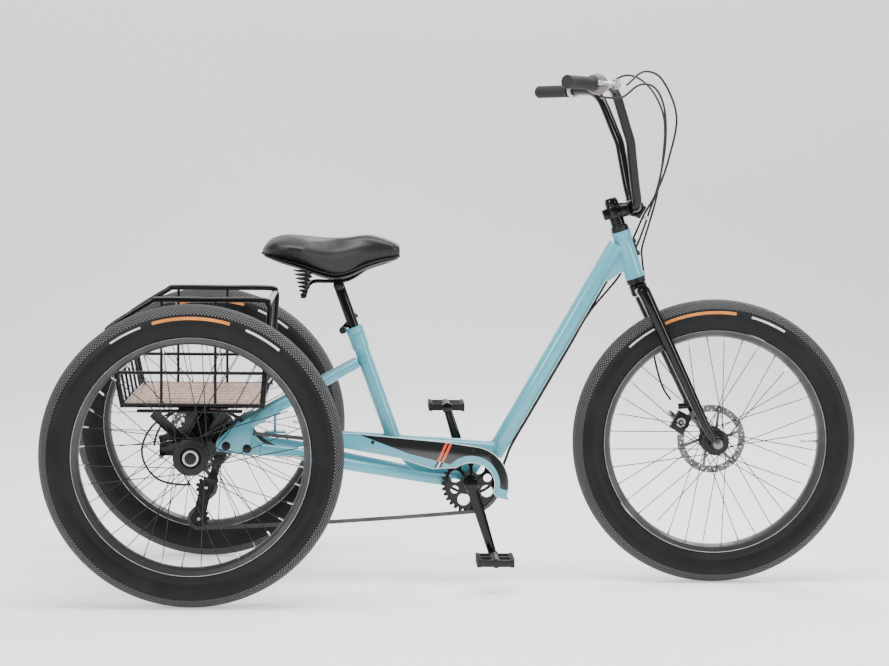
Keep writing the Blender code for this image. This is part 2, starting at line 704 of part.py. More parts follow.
def make_pedal(name, side, end, crank):
    """A platform pedal that turns on its axle."""
    centre = Vector((end.x, side * PEDAL_Y, end.z))
    hub = pivot(name + "_pedal_pivot", centre, crank)
    inner = side * (CRANK_Y + 0.0150)
    outer = side * (PEDAL_Y + 0.0500)
    middle = (inner + outer) * 0.5
    width = abs(outer - inner)
    shapes = [
        box((centre.x, middle, centre.z), (0.0260, width, 0.0200)),
        box((centre.x + 0.0370, middle, centre.z), (0.0080, width, 0.0160)),
        box((centre.x - 0.0370, middle, centre.z), (0.0080, width, 0.0160)),
        box((centre.x, inner + side * 0.0040, centre.z), (0.0820, 0.0080, 0.0160)),
        box((centre.x, outer - side * 0.0040, centre.z), (0.0820, 0.0080, 0.0160)),
        box((centre.x, middle, centre.z), (0.0800, 0.0070, 0.0120)),
    ]
    bore = along_y(end, inner - side * 0.01, outer - side * 0.003, 0.0052, sides=16)
    piece(name + "_pedal", shapes, black_part(), [bore], centre, smooth=False, parent=hub)


def make_sprockets():
    """The seven-cog freewheel and the derailleur's two pulleys."""
    cogs = [toothed(REAR_AXLE, COG_TEETH[0], 0.0018, CHAIN_Y, 0.0036)]
    for index, teeth in enumerate(COG_TEETH[1:], start=1):
        y = CHAIN_Y + index * COG_STEP
        cogs.append(along_y(REAR_AXLE, y - 0.0009, y + 0.0009, pitch_radius(teeth) + 0.0030, sides=20))
    core = along_y(REAR_AXLE, CHAIN_Y - 0.0008, CHAIN_Y + 6.0 * COG_STEP + 0.0030, 0.0200)
    piece("freewheel", cogs + [core], steel(), [along_y(REAR_AXLE, -0.07, 0.0, 0.0092)], REAR_AXLE,
          parent=pivot("freewheel_pivot", REAR_AXLE))
    for name, centre in (("guide_pulley", GUIDE_PULLEY), ("tension_pulley", TENSION_PULLEY)):
        piece(name, [toothed(centre, PULLEY_TEETH, 0.0022, CHAIN_Y, 0.0030)], black_part(),
              [along_y(centre, -0.07, -0.03, 0.0046, sides=16)], centre,
              parent=pivot(name + "_pivot", centre))


def make_derailleur():
    """The changer's body, hung from the right rear plate, and its cage."""
    knuckle = Vector((-0.5520, -0.0620, 0.2900))
    joint = Vector((-0.5660, -0.0650, 0.2400))
    face = -PLATE_Y + 0.0037
    body = [
        along_y(knuckle, face, -0.0585, 0.0110, sides=16),
        flat_bar(knuckle, joint, 0.0190, 0.0090),
        rod((joint.x, -0.0700, joint.z), (joint.x, -0.0590, joint.z), 0.0140, sides=16),
        plate([(-0.5650, 0.2800), (-0.5420, 0.2800), (-0.5320, 0.3020), (-0.5500, 0.3045)], -0.0683, -0.0640),
    ]
    piece("derailleur_body", body, black_metal())
    outer_y = CHAIN_Y - 0.0070
    inner_y = CHAIN_Y + 0.0070
    outer_cage = flat_bar((GUIDE_PULLEY.x, outer_y, GUIDE_PULLEY.z), (TENSION_PULLEY.x, outer_y, TENSION_PULLEY.z),
                          0.0240, 0.0018)
    inner_cage = flat_bar((GUIDE_PULLEY.x, inner_y, GUIDE_PULLEY.z), (TENSION_PULLEY.x, inner_y, TENSION_PULLEY.z),
                          0.0240, 0.0018)
    shapes = [outer_cage, inner_cage]
    for centre in (GUIDE_PULLEY, TENSION_PULLEY):
        shapes.append(along_y(centre, outer_y, inner_y, 0.0040, sides=12))
        shapes.append(along_y(centre, outer_y - 0.0009, outer_y + 0.0009, 0.0140, sides=16))
        shapes.append(along_y(centre, inner_y - 0.0009, inner_y + 0.0009, 0.0140, sides=16))
    piece("derailleur_cage", shapes, black_metal())


# --- Carrier, basket and rear brake ---

def bearing_bracket(side):
    """A bearing housing with two struts that rise to the basket's floor."""
    y = side * CARRIER_Y
    hub = Vector((REAR_AXLE.x, y, REAR_AXLE.z))
    front_foot = Vector((-0.5240, y, BASKET_BASE_Z - 0.0160))
    rear_foot = Vector((-0.6850, y, BASKET_BASE_Z - 0.0160))
    return [
        along_y(hub, y - 0.0110, y + 0.0110, 0.0260),
        flat_bar(hub, front_foot, 0.0220, 0.0080),
        flat_bar(hub, rear_foot, 0.0220, 0.0080),
        box((REAR_AXLE.x - 0.010, y, BASKET_BASE_Z - 0.0120), (0.2300, 0.0260, 0.0060)),
    ]


def make_carrier():
    """The black axle carrier: two bearing brackets, a cross beam and two centre plates."""
    shapes = bearing_bracket(-1.0) + bearing_bracket(1.0)
    shapes.append(box((-0.5950, 0.0, BASKET_BASE_Z - 0.0110), (0.0700, 0.5200, 0.0080)))
    plate_outline = [(-0.6250, 0.4240), (-0.6300, 0.3380), (-0.6850, 0.3260), (-0.6850, 0.2980), (-0.6200, 0.2980),
                     (-0.5400, 0.3020), (-0.4850, 0.3100), (-0.4850, 0.3300), (-0.5450, 0.3700),
                     (-0.5450, 0.4240)]
    for side in (-1.0, 1.0):
        y = side * (PLATE_Y + 0.0070)
        shapes.append(plate(plate_outline, y - 0.0032, y + 0.0032))
        shapes.append(along_y(REAR_AXLE, y - 0.0080, y + 0.0080, 0.0240))
        for bolt_x, bolt_z in ((-0.5440, 0.3200), (-0.5080, 0.3130)):
            shapes.append(along_y((bolt_x, 0.0, bolt_z), y, y + side * 0.0110, 0.0085, sides=12))
    cuts = [along_y(REAR_AXLE, -0.30, 0.30, AXLE_BORE + 0.0003)]
    piece("axle_carrier", shapes, black_paint(), cuts)


def side_panel(side):
    """One wire side of the basket, all in one plane."""
    y = side * BASKET_HALF
    rail = [(-0.4457, y, BASKET_BASE_Z - 0.0045), (-0.430, y, 0.640), (-0.440, y, BASKET_TOP_Z),
            (-0.690, y, BASKET_TOP_Z), (-0.785, y, 0.5950), (-0.7507, y, BASKET_BASE_Z - 0.0045)]
    shapes = [
        bent_tube(rail, BASKET_RAIL, 1),
        rod((-0.4445, y, BASKET_BASE_Z), (-0.7525, y, BASKET_BASE_Z), 0.0052, sides=6),
        rod((-0.4430, y, BASKET_MID_Z), (-0.7640, y, BASKET_MID_Z), BASKET_WIRE, sides=8),
    ]
    for x in (-0.6670, -0.5490):
        shapes.append(rod((x, y, BASKET_BASE_Z), (x, y, BASKET_TOP_Z), BASKET_WIRE * 0.85, sides=6))
    return shapes


def end_panel(top, base, rail_radius):
    """The front or rear wires of the basket, between its sides."""
    reach = BASKET_HALF - BASKET_RAIL - 0.0012
    middle = base.lerp(top, (BASKET_MID_Z - base.z) / (top.z - base.z))
    shapes = []
    for place, radius in ((top, rail_radius), (middle, BASKET_WIRE), (base, 0.0055)):
        shapes.append(rod((place.x, -reach, place.z), (place.x, reach, place.z), radius, sides=6))
    for index in range(5):
        y = (index - 2) * 0.0860
        shapes.append(rod((base.x, y, base.z), (top.x, y, top.z), BASKET_WIRE * 0.8, sides=5))
    return shapes


def make_basket():
    piece("basket_right_side", side_panel(-1.0), black_paint())
    piece("basket_left_side", side_panel(1.0), black_paint())
    piece("basket_front", end_panel(Vector((-0.4350, 0.0, 0.6550)), Vector((-0.446, 0.0, BASKET_BASE_Z)),
                                    BASKET_RAIL), black_paint())
    piece("basket_rear", end_panel(Vector((-0.7800, 0.0, 0.5900)), Vector((-0.751, 0.0, BASKET_BASE_Z)),
                                   BASKET_RAIL), black_paint())
    floor = box((-0.5985, 0.0, BASKET_BASE_Z), (0.2860, 0.4960, 0.0090))
    slots = [box((-0.5985, (index - 3.5) * 0.0620, BASKET_BASE_Z), (0.2100, 0.0140, 0.0300))
             for index in range(8)]
    piece("basket_floor", [floor], material("floor_wood", WOOD, 0.55), slots, smooth=False)


def caliper_shapes(axle, angle, side):
    """A disc caliper straddling the rotor's edge, and the barrel its arm turns on."""
    outward = Vector((math.cos(angle), 0.0, math.sin(angle)))
    rotor = Vector((axle.x, ROTOR_Y, axle.z))
    middle = rotor + outward * CALIPER_RADIUS
    body = box(middle + Vector((0.0, side * 0.0043, 0.0)), (0.0340, 0.0215, 0.0460), angle)
    barrel = rotor + outward * BARREL_RADIUS
    barrel_shape = along_y(barrel, ROTOR_Y + side * 0.0080, ROTOR_Y + side * 0.0260, 0.0170)
    slot = box(middle - outward * 0.0060, (0.0340, 0.0040, 0.0600), angle)
    return [body, barrel_shape], [slot]


def caliper_arm(name, axle, angle, side, lean, arm_parent=None):
    """The arm that the cable pulls, on the end of the caliper's barrel."""
    barrel = axle + Vector((BARREL_RADIUS * math.cos(angle), 0.0, BARREL_RADIUS * math.sin(angle)))
    barrel.y = ROTOR_Y + side * 0.0298
    tip = barrel + Vector((0.0340 * math.cos(lean), 0.0, 0.0340 * math.sin(lean)))
    shapes = [flat_bar(barrel, tip, 0.0110, 0.0040),
              along_y(barrel, barrel.y - 0.0030, barrel.y + 0.0030, 0.0110, sides=12),
              along_y(tip, barrel.y - 0.0035, barrel.y + 0.0035, 0.0060, sides=8)]
    piece(name, shapes, black_metal(), origin=barrel, parent=pivot(name + "_pivot", barrel, arm_parent))


def make_rear_brake():
    shapes, cuts = caliper_shapes(REAR_AXLE, REAR_CALIPER_ANGLE, -1.0)
    bridge = box((-0.6740, 0.0600, 0.3120), (0.0200, 0.0300, 0.0240))
    piece("rear_caliper", shapes + [bridge], black_metal(), cuts)
    caliper_arm("rear_caliper_arm", REAR_AXLE, REAR_CALIPER_ANGLE, -1.0, math.radians(235.0))


# --- Steering ---

FORK_LEG_Y = 0.0620


def fork_leg(side):
    y = side * FORK_LEG_Y
    top = head_at(-0.0840, 0.0020, y)
    foot = Vector((0.5640, y, 0.3740))
    tip = Vector((FRONT_AXLE.x - 0.0080, y, FRONT_AXLE.z + 0.0080))
    return [
        rod(top, foot, 0.0150, 0.0105, sides=16),
        rod(foot - (foot - top).normalized() * 0.006, tip, 0.0100, 0.0090, sides=12),
        along_y(FRONT_AXLE, y - 0.0035, y + 0.0035, 0.0150, sides=14),
    ]


def make_fork(steering):
    shapes = [
        rod(head_at(-0.0800), head_at(0.1170), STEERER_RADIUS, sides=16),
        rod(head_at(-0.0980), head_at(-0.0690), 0.0205, sides=16),
        rod(head_at(-0.0845, 0.0, -0.0700), head_at(-0.0845, 0.0, 0.0700), 0.0140, sides=16),
    ]
    shapes += fork_leg(-1.0) + fork_leg(1.0)
    mount = flat_bar((0.5480, FORK_LEG_Y - 0.0030, 0.4060), (0.5180, FORK_LEG_Y - 0.0030, 0.4040), 0.0140, 0.0060)
    cuts = [along_y(FRONT_AXLE, -0.08, 0.08, 0.0056)]
    piece("fork", shapes + [mount], black_paint(), cuts, HEAD_POINT, parent=steering)
    axle = [
        along_y(FRONT_AXLE, -0.0760, 0.0760, 0.0050, sides=14),
        along_y(FRONT_AXLE, -0.0740, -FORK_LEG_Y - 0.0040, 0.0090, sides=6),
        along_y(FRONT_AXLE, FORK_LEG_Y + 0.0040, 0.0740, 0.0090, sides=6),
    ]
    piece("front_axle", axle, steel(), origin=FRONT_AXLE, parent=steering)


def make_stem(steering):
    """Spacers, stem and its two-bolt face clamp, on top of the steerer."""
    axis_point = head_at(0.1050)
    ahead = BAR_CLAMP - axis_point
    tilt = math.atan2(ahead.z, ahead.x)
    shapes = [
        rod(head_at(0.0720), head_at(0.0930), 0.0165, sides=16),
        rod(head_at(0.0910), head_at(0.1190), 0.0200, sides=16),
        rod(head_at(0.1180), head_at(0.1380), 0.0150, sides=16),
        box(axis_point.lerp(BAR_CLAMP, 0.45), (ahead.length * 0.95, 0.0380, 0.0270), tilt),
        along_y(BAR_CLAMP, -0.0240, 0.0240, 0.0205),
        box(BAR_CLAMP + Vector((0.0150, 0.0, -0.0100)), (0.0180, 0.0440, 0.0300), math.radians(-30.0)),
    ]
    cuts = [
        rod(head_at(0.0600), head_at(0.1173), STEERER_RADIUS + GAP, sides=16),
        along_y(BAR_CLAMP, -0.05, 0.05, BAR_RADIUS + 0.0005),
    ]
    piece("stem", shapes, black_metal(), cuts, HEAD_POINT, parent=steering)


def bar_route():
    """The right half of the bar, from the clamp out to the grip's end."""
    return [
        Vector((BAR_CLAMP.x, -0.0340, BAR_CLAMP.z)),
        Vector((BAR_CLAMP.x, -0.0470, BAR_CLAMP.z + 0.0030)),
        Vector((BAR_CLAMP.x - 0.0010, -0.0560, BAR_CLAMP.z + 0.0110)),
        Vector((BAR_CLAMP.x - 0.0020, -0.0610, BAR_CLAMP.z + 0.0240)),
        Vector((0.3810, -0.0980, 0.9900)),
        Vector((0.3760, -0.1100, 1.0200)),
        Vector((0.3650, -0.1230, 1.0500)),
        Vector((0.3420, -0.1530, 1.1120)),
        Vector((0.3360, -0.1610, 1.1240)),
        Vector((0.3280, -0.1740, 1.1350)),
        Vector((0.3180, -0.1920, 1.1420)),
        Vector((0.3060, -0.2120, 1.1450)),
        Vector((0.2080, -0.3720, 1.1450)),
    ]


def grip_line():
    """Direction along the grip, from its inner end outwards, and the grip's outer end."""
    route = bar_route()
    return (route[-1] - route[-2]).normalized(), route[-1]


def make_handlebar(steering):
    right = bar_route()
    route = list(reversed(right)) + mirrored(right)
    piece("handlebar", [bent_tube(route, BAR_RADIUS, 2)], black_paint(), origin=HEAD_POINT, parent=steering)
    direction, end = grip_line()
    for name, flip in (("right", 1.0), ("left", -1.0)):
        make_grip(name, flip, direction, end, steering)


def flipped(point, flip):
    return Vector((point[0], point[1] * flip, point[2]))


def make_grip(name, flip, direction, end, steering):
    """A grip over the bar's end, with the lever's clamp inboard of it."""
    outer = flipped(end + direction * 0.0040, flip)
    inner = flipped(end + direction * 0.0040 - direction * GRIP_LENGTH, flip)
    bore_end = flipped(end + direction * 0.0005, flip)
    bore_start = flipped(end - direction * 0.1600, flip)
    piece(name + "_grip", [rod(inner, outer, GRIP_RADIUS, sides=14)], material("grip_rubber", RUBBER, 0.8),
          [rod(bore_start, bore_end, BAR_RADIUS + 0.0005, sides=16)], inner, parent=steering)
    mount_distance = lever_distance(flip)
    mount = flipped(end - direction * mount_distance, flip)
    along = flipped(direction, flip)
    hinge = lever_hinge(flip)
    shapes = [
        rod(mount - along * 0.0060, mount + along * 0.0060, 0.0165, sides=14),
        rod(mount, hinge, 0.0068),
        rod(hinge - Vector((0.0, 0.0, 0.0110)), hinge + Vector((0.0, 0.0, 0.0110)), 0.0075),
        rod((mount + hinge) * 0.5, (mount + hinge) * 0.5 + Vector((0.0250, flip * 0.0340, 0.0)), 0.0050),
    ]
    cuts = [
        rod(mount - along * 0.03, mount + along * 0.03, BAR_RADIUS + 0.0005, sides=16),
        rod(hinge - Vector((0.0, 0.0, 0.0055)), hinge + Vector((0.0, 0.0, 0.0055)), 0.0115),
    ]
    piece(name + "_lever_mount", shapes, black_metal(), cuts, mount, parent=steering)
    make_brake_lever(name, flip, hinge, along, steering)


def lever_distance(flip):
    """How far the lever's clamp sits from the grip's end: the right one clears the shifter."""
    return 0.1720 if flip > 0.0 else 0.1370


def lever_hinge(flip):
    """The brake lever's pivot, ahead of the bar and just inboard of the controls."""
    direction, end = grip_line()
    mount = end - direction * lever_distance(flip)
    ahead = Vector((-direction.y, direction.x, 0.0)).normalized()
    if ahead.x < 0.0:
        ahead = -ahead
    return flipped(mount + ahead * 0.0360 + direction * 0.002, flip)


def make_brake_lever(name, flip, hinge, along, steering):
    """A two-finger lever that reaches out ahead of the grip."""
    lever_pivot = pivot(name + "_lever_pivot", hinge, steering)
    ahead = Vector((along.y, -along.x, 0.0)).normalized()
    if ahead.x < 0.0:
        ahead = -ahead
    blade = [hinge, hinge + along * 0.030 + ahead * 0.004, hinge + along * 0.070 + ahead * 0.003,
             hinge + along * 0.105 + ahead * 0.010]
    shapes = [rod(hinge - Vector((0.0, 0.0, 0.0050)), hinge + Vector((0.0, 0.0, 0.0050)), 0.0070, sides=16),
              bent_tube(blade, 0.0046, 2, steps=3)]
    piece(name + "_brake_lever", shapes, black_metal(), origin=hinge, parent=lever_pivot)


def make_shifter(steering):
    """The twist shifter's drum, between the right grip and the brake lever."""
    direction, end = grip_line()
    inner = end - direction * 0.1560
    outer = end - direction * 0.1230
    shifter_pivot = pivot("twist_shifter_pivot", inner, steering)
    piece("twist_shifter", [rod(inner, outer, 0.0240, 0.0185, sides=16)],
          material("shifter_grey", (0.18, 0.18, 0.18, 1.0), 0.5),
          [rod(inner - direction * 0.02, outer + direction * 0.02, BAR_RADIUS + 0.0008, sides=14)],
          inner, parent=shifter_pivot)


def make_front_brake(steering):
    shapes, cuts = caliper_shapes(FRONT_AXLE, FRONT_CALIPER_ANGLE, 1.0)
    piece("front_caliper", shapes, black_metal(), cuts, FRONT_AXLE, parent=steering)
    caliper_arm("front_caliper_arm", FRONT_AXLE, FRONT_CALIPER_ANGLE, 1.0, math.radians(140.0), steering)


# --- Cables, held along their whole length ---

def route_tube(name, points):
    """A cable along a smooth route, as a live curve with closed ends."""
    route = smooth_points([Vector(point) for point in points], 2)
    curve = bpy.data.curves.new(name, "CURVE")
    curve.dimensions = "3D"
    curve.bevel_depth = CABLE_RADIUS
    curve.bevel_resolution = 2
    curve.use_fill_caps = True
    spline = curve.splines.new("POLY")
    spline.points.add(len(route) - 1)
    for point, place in zip(spline.points, route):
        point.co = (*place, 1.0)
    curve.materials.append(black_part())
    cable = bpy.data.objects.new(name, curve)
    bpy.context.scene.collection.objects.link(cable)


def lever_exit(flip):
    """Where the cable leaves the brake lever's body."""
    return lever_hinge(flip) + Vector((0.0270, flip * 0.0374, 0.0))


def down_tube_under(height, y):
    """A point just below the down tube, at a height of its middle line."""
    along = (DOWN_TOP - DOWN_LOW).normalized()
    middle = DOWN_LOW + along * ((height - DOWN_LOW.z) / along.z)
    below = Vector((along.z, 0.0, -along.x)) * (DOWN_RADIUS + CABLE_RADIUS + 0.0015)
    return Vector((middle.x + below.x, y, middle.z + below.z))


def make_cables():
    """Two cables run to the rear under the down tube; the front brake's goes down the fork."""
    bars = [(0.402, -0.130, 1.178), (0.449, -0.090, 1.161), (0.488, -0.050, 1.080),
            (0.477, -0.010, 0.984), (0.455, 0.014, 0.910), (0.424, 0.023, 0.850)]
    neck = [(0.4050, 0.0230, 0.8060), (0.3920, 0.0280, 0.7780), (0.3720, 0.0290, 0.7480),
            (0.3480, 0.0230, 0.7090)]
    under = [down_tube_under(height, 0.0070) for height in (0.640, 0.560, 0.480, 0.400, 0.330)]
    crank_turn = [(0.1080, 0.0070, 0.2800), (0.0900, 0.0070, 0.2380), (0.0520, 0.0070, 0.2080),
                  (0.0100, 0.0070, 0.2060), (-0.0400, 0.0070, 0.2260), (-0.1400, 0.0070, 0.2470)]
    rear = [(-0.2650, 0.0080, 0.2700), (-0.3660, 0.0100, 0.2930), (-0.4400, 0.0110, 0.3180),
            (-0.5000, 0.0110, 0.3700), (-0.5600, 0.0110, 0.3980), (-0.6300, 0.0110, 0.3990),
            (-0.6740, 0.0110, 0.3760), (-0.6970, 0.0110, 0.3400), (-0.7045, 0.0110, 0.3100)]
    route_tube("rear_brake_cable", [lever_exit(1.0)] + bars + neck + under + crank_turn + rear)
    make_shift_cable(under, crank_turn)
    make_front_cable()


def make_shift_cable(under, crank_turn):
    direction, end = grip_line()
    start = end - direction * 0.1460 + Vector((0.0060, 0.0, -0.0270))
    bars = [end - direction * 0.1750 + Vector((0.0120, 0.0, -0.0290)),
            (0.345, -0.212, 1.118), (0.385, -0.185, 1.146), (0.425, -0.140, 1.142), (0.453, -0.098, 1.098),
            (0.462, -0.062, 1.020), (0.452, -0.034, 0.930), (0.432, -0.004, 0.853)]
    neck = [(0.4160, 0.0110, 0.8000), (0.4050, 0.0250, 0.7710), (0.3860, 0.0300, 0.7380),
            (0.3620, 0.0220, 0.7000)]
    beside = [(point[0], point[1] - 0.0130, point[2]) for point in under + crank_turn]
    rear = [(-0.2650, -0.0070, 0.2700), (-0.3660, -0.0130, 0.2930), (-0.4400, -0.0260, 0.3180),
            (-0.4850, -0.0300, 0.3580), (-0.5400, -0.0310, 0.3960), (-0.6000, -0.0320, 0.4030),
            (-0.6600, -0.0340, 0.3920), (-0.7050, -0.0400, 0.3600), (-0.7270, -0.0460, 0.3150),
            (-0.7200, -0.0480, 0.2730), (-0.6900, -0.0520, 0.2400), (-0.6450, -0.0580, 0.2290),
            (-0.6150, -0.0630, 0.2300)]
    route_tube("shift_cable", [start] + bars + neck + beside + rear)


def make_front_cable():
    bars = [(0.395, 0.150, 1.180), (0.445, 0.105, 1.150), (0.474, 0.065, 1.080), (0.470, 0.036, 0.990),
            (0.455, 0.020, 0.900), (0.436, 0.014, 0.830)]
    lower = [(0.4215, 0.0140, 0.7780), (0.4240, 0.0260, 0.7480), (0.4320, 0.0520, 0.7080),
             (0.4400, 0.0860, 0.6600), (0.4560, 0.0880, 0.5800), (0.4640, 0.0800, 0.5130),
             (0.4820, 0.0740, 0.4500), (0.5020, 0.0700, 0.4180)]
    route_tube("front_brake_cable", [lever_exit(-1.0)] + bars + lower)


def make_cable_guide():
    """A strip on the front of the head tube, with a clip at each end."""
    face = HEAD_TUBE_RADIUS + GAP
    middle = head_at(0.0120, face + 0.0013)
    shapes = [
        box(middle, (0.0026, 0.0120, 0.0400), HEAD_TILT),
        box(head_at(0.0270, face + 0.0030), (0.0060, 0.0080, 0.0100), HEAD_TILT),
        box(head_at(-0.0030, face + 0.0030), (0.0060, 0.0080, 0.0100), HEAD_TILT),
    ]
    piece("cable_guide", shapes, black_part())


# --- Saddle ---

POST_TOP = SEAT_TOP + SEAT_UP * 0.1250
SADDLE_ROWS = (
    (-0.4600, 0.7580, 0.7720, 0.0560),
    (-0.4450, 0.7420, 0.7900, 0.0960),
    (-0.4100, 0.7320, 0.7990, 0.1220),
    (-0.3600, 0.7240, 0.7960, 0.1240),
    (-0.3100, 0.7200, 0.7890, 0.0980),
    (-0.2600, 0.7260, 0.7860, 0.0660),
    (-0.2100, 0.7340, 0.7900, 0.0450),
    (-0.1650, 0.7420, 0.7830, 0.0330),
    (-0.1370, 0.7500, 0.7640, 0.0180),
)


def saddle_ring(x, low, high, half_width, sides=16):
    """One cross section of the saddle: a rounded shape, fuller towards its top."""
    middle = low + (high - low) * 0.60
    ring = []
    for index in range(sides):
        angle = 2.0 * math.pi * index / sides
        rise = math.sin(angle)
        y = half_width * math.copysign(abs(math.cos(angle)) ** 0.8, math.cos(angle))
        z = middle + rise * (high - middle if rise > 0.0 else middle - low)
        ring.append(Vector((x, y, z)))
    return ring


def make_saddle():
    post = pivot("seatpost_pivot", SEAT_TOP)
    clamp = POST_TOP + Vector((0.0, 0.0, -0.0050))
    head = [
        rod(SEAT_TOP - SEAT_UP * 0.1300, POST_TOP, SEATPOST_RADIUS, sides=16),
        rod((clamp.x - 0.004, -0.0260, clamp.z), (clamp.x - 0.004, 0.0260, clamp.z), 0.0125, sides=16),
    ]
    for side in (-1.0, 1.0):
        rail = [(-0.372, side * 0.0560, 0.7020), (-0.330, side * 0.0250, 0.6960), (-0.285, side * 0.0200, 0.6930),
                (-0.240, side * 0.0200, 0.6960), (-0.180, side * 0.0120, 0.7290)]
        head.append(bent_tube(rail, 0.0036, 1, steps=2))
    piece("seatpost", head, black_metal(), origin=SEAT_TOP, parent=post)
    piece("saddle", [loft([saddle_ring(*row) for row in SADDLE_ROWS])], material("saddle_vinyl", BLACK_MATT, 0.45),
          origin=SEAT_TOP, parent=post)
    for name, side in (("right", -1.0), ("left", 1.0)):
        make_saddle_spring(name, side, post)


def make_saddle_spring(name, side, post):
    """A tapered coil spring that stands between a rail's rear end and the saddle's underside."""
    turns = 3
    points = []
    for step in range(turns * 8 + 1):
        t = step / (turns * 8.0)
        angle = 2.0 * math.pi * turns * t
        radius = 0.0130 + 0.0080 * t
        points.append((-0.3600 + radius * math.cos(angle), side * 0.0800 + radius * math.sin(angle),
                       0.6600 + 0.0560 * t))
    piece(name + "_saddle_spring", [bent_tube(points, 0.0026, 0)], steel(), origin=SEAT_TOP, parent=post)


def main():
    for obj in list(bpy.data.objects):
        bpy.data.objects.remove(obj)
    make_main_frame()
    make_rear_stays()
    make_chain_guard()
    make_headset()
    make_seat_collar()
    make_clamp_lever()
    steering = pivot("steering_pivot", HEAD_POINT)
    make_fork(steering)
    make_stem(steering)
    make_handlebar(steering)
    make_shifter(steering)
    make_front_brake(steering)
    make_front_wheel(steering)
    make_rear_wheel("right", -1.0)
    left_pivot = make_rear_wheel("left", 1.0)
    make_rear_axle(left_pivot)
    make_chain()
    make_crank()
    make_sprockets()
    make_derailleur()
    make_carrier()
    make_basket()
    make_rear_brake()
    make_saddle()
    make_cable_guide()
    make_cables()


if __name__ == "__main__":
    main()
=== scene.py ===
"""Visual model of an adult tricycle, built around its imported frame.

Metres, +Z up, +X forward, +Y to the rider's left. Each sub-assembly is a class whose fields are
its sizes and whose methods make its pieces.
"""

import json
import logging
import math
from dataclasses import dataclass, field
from enum import Enum
from typing import Any, Iterable, Sequence

import bmesh
import bpy
from mathutils import Matrix, Vector


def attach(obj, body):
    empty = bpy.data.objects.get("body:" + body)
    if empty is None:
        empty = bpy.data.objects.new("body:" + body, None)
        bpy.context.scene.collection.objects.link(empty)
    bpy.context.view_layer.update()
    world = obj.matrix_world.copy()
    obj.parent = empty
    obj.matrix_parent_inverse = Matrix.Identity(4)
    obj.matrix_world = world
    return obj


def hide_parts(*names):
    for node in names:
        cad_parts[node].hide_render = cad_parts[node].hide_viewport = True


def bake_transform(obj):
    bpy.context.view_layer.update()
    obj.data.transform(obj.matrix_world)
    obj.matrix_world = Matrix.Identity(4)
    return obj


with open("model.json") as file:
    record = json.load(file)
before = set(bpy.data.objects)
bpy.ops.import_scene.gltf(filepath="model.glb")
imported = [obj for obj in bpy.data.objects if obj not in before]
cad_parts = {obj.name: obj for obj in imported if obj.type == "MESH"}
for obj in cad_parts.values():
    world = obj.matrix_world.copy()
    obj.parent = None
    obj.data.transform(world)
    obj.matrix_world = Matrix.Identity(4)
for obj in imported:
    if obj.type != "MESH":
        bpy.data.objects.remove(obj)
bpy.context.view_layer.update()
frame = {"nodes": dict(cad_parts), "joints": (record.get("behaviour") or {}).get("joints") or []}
LOG = logging.getLogger("tricycle")

# --- Places shared by several sub-assemblies ---
WHEEL_RADIUS = 0.330
FRONT_AXLE = Vector((0.5945, 0.0, WHEEL_RADIUS))
REAR_AXLE = Vector((-0.5945, 0.0, WHEEL_RADIUS))
TRACK_HALF = 0.350
HEAD_POINT = Vector((0.3875, 0.0, 0.761))
HEAD_TILT = math.radians(18.5)
HEAD_UP = Vector((-math.sin(HEAD_TILT), 0.0, math.cos(HEAD_TILT)))
HEAD_FRONT = Vector((math.cos(HEAD_TILT), 0.0, math.sin(HEAD_TILT)))
SEAT_TOP = Vector((-0.2395, 0.0, 0.574))
SEAT_LOW = Vector((-0.1515, 0.0, 0.333))
SEAT_UP = (SEAT_TOP - SEAT_LOW).normalized()
MAIN_REAR = Vector((-0.3000, 0.0, 0.3310))
MAIN_FRONT = Vector((0.0860, 0.0, 0.3080))
DOWN_LOW = Vector((0.0850, 0.0, 0.3000))
DOWN_TOP = Vector((0.3610, 0.0, 0.7850))
BRACKET = Vector((0.0270, 0.0, 0.2330))
CHAIN_Y = -0.0500
CHAIN_PITCH = 0.0127
RING_TEETH = 32
COG_TEETH = (14, 16, 18, 20, 22, 24, 28)
COG_STEP = 0.0050
PULLEY_TEETH = 11
GUIDE_PULLEY = Vector((-0.5800, CHAIN_Y, 0.2220))
TENSION_PULLEY = Vector((-0.5970, CHAIN_Y, 0.1500))
ROTOR_Y = 0.0400
BAR_CLAMP = HEAD_POINT + HEAD_UP * 0.0994 + HEAD_FRONT * 0.0464
HARD_ANGLE = math.radians(38.0)
MERGE = 0.00001
TEAL = (0.092, 0.365, 0.450)


class Slot(Enum):
    """The record's material slots."""

    PAINT = "frame_paint"
    BLACK = "black_gloss"
    PLASTIC = "black_plastic"
    ANODISED = "black_anodised"
    STEEL = "bright_steel"
    TYRE = "tyre_rubber"
    RIM = "rim_black"
    WOOD = "floor_wood"
    GRIP = "grip_rubber"
    SHIFTER = "shifter_grey"
    VINYL = "saddle_vinyl"


# --- Materials ---

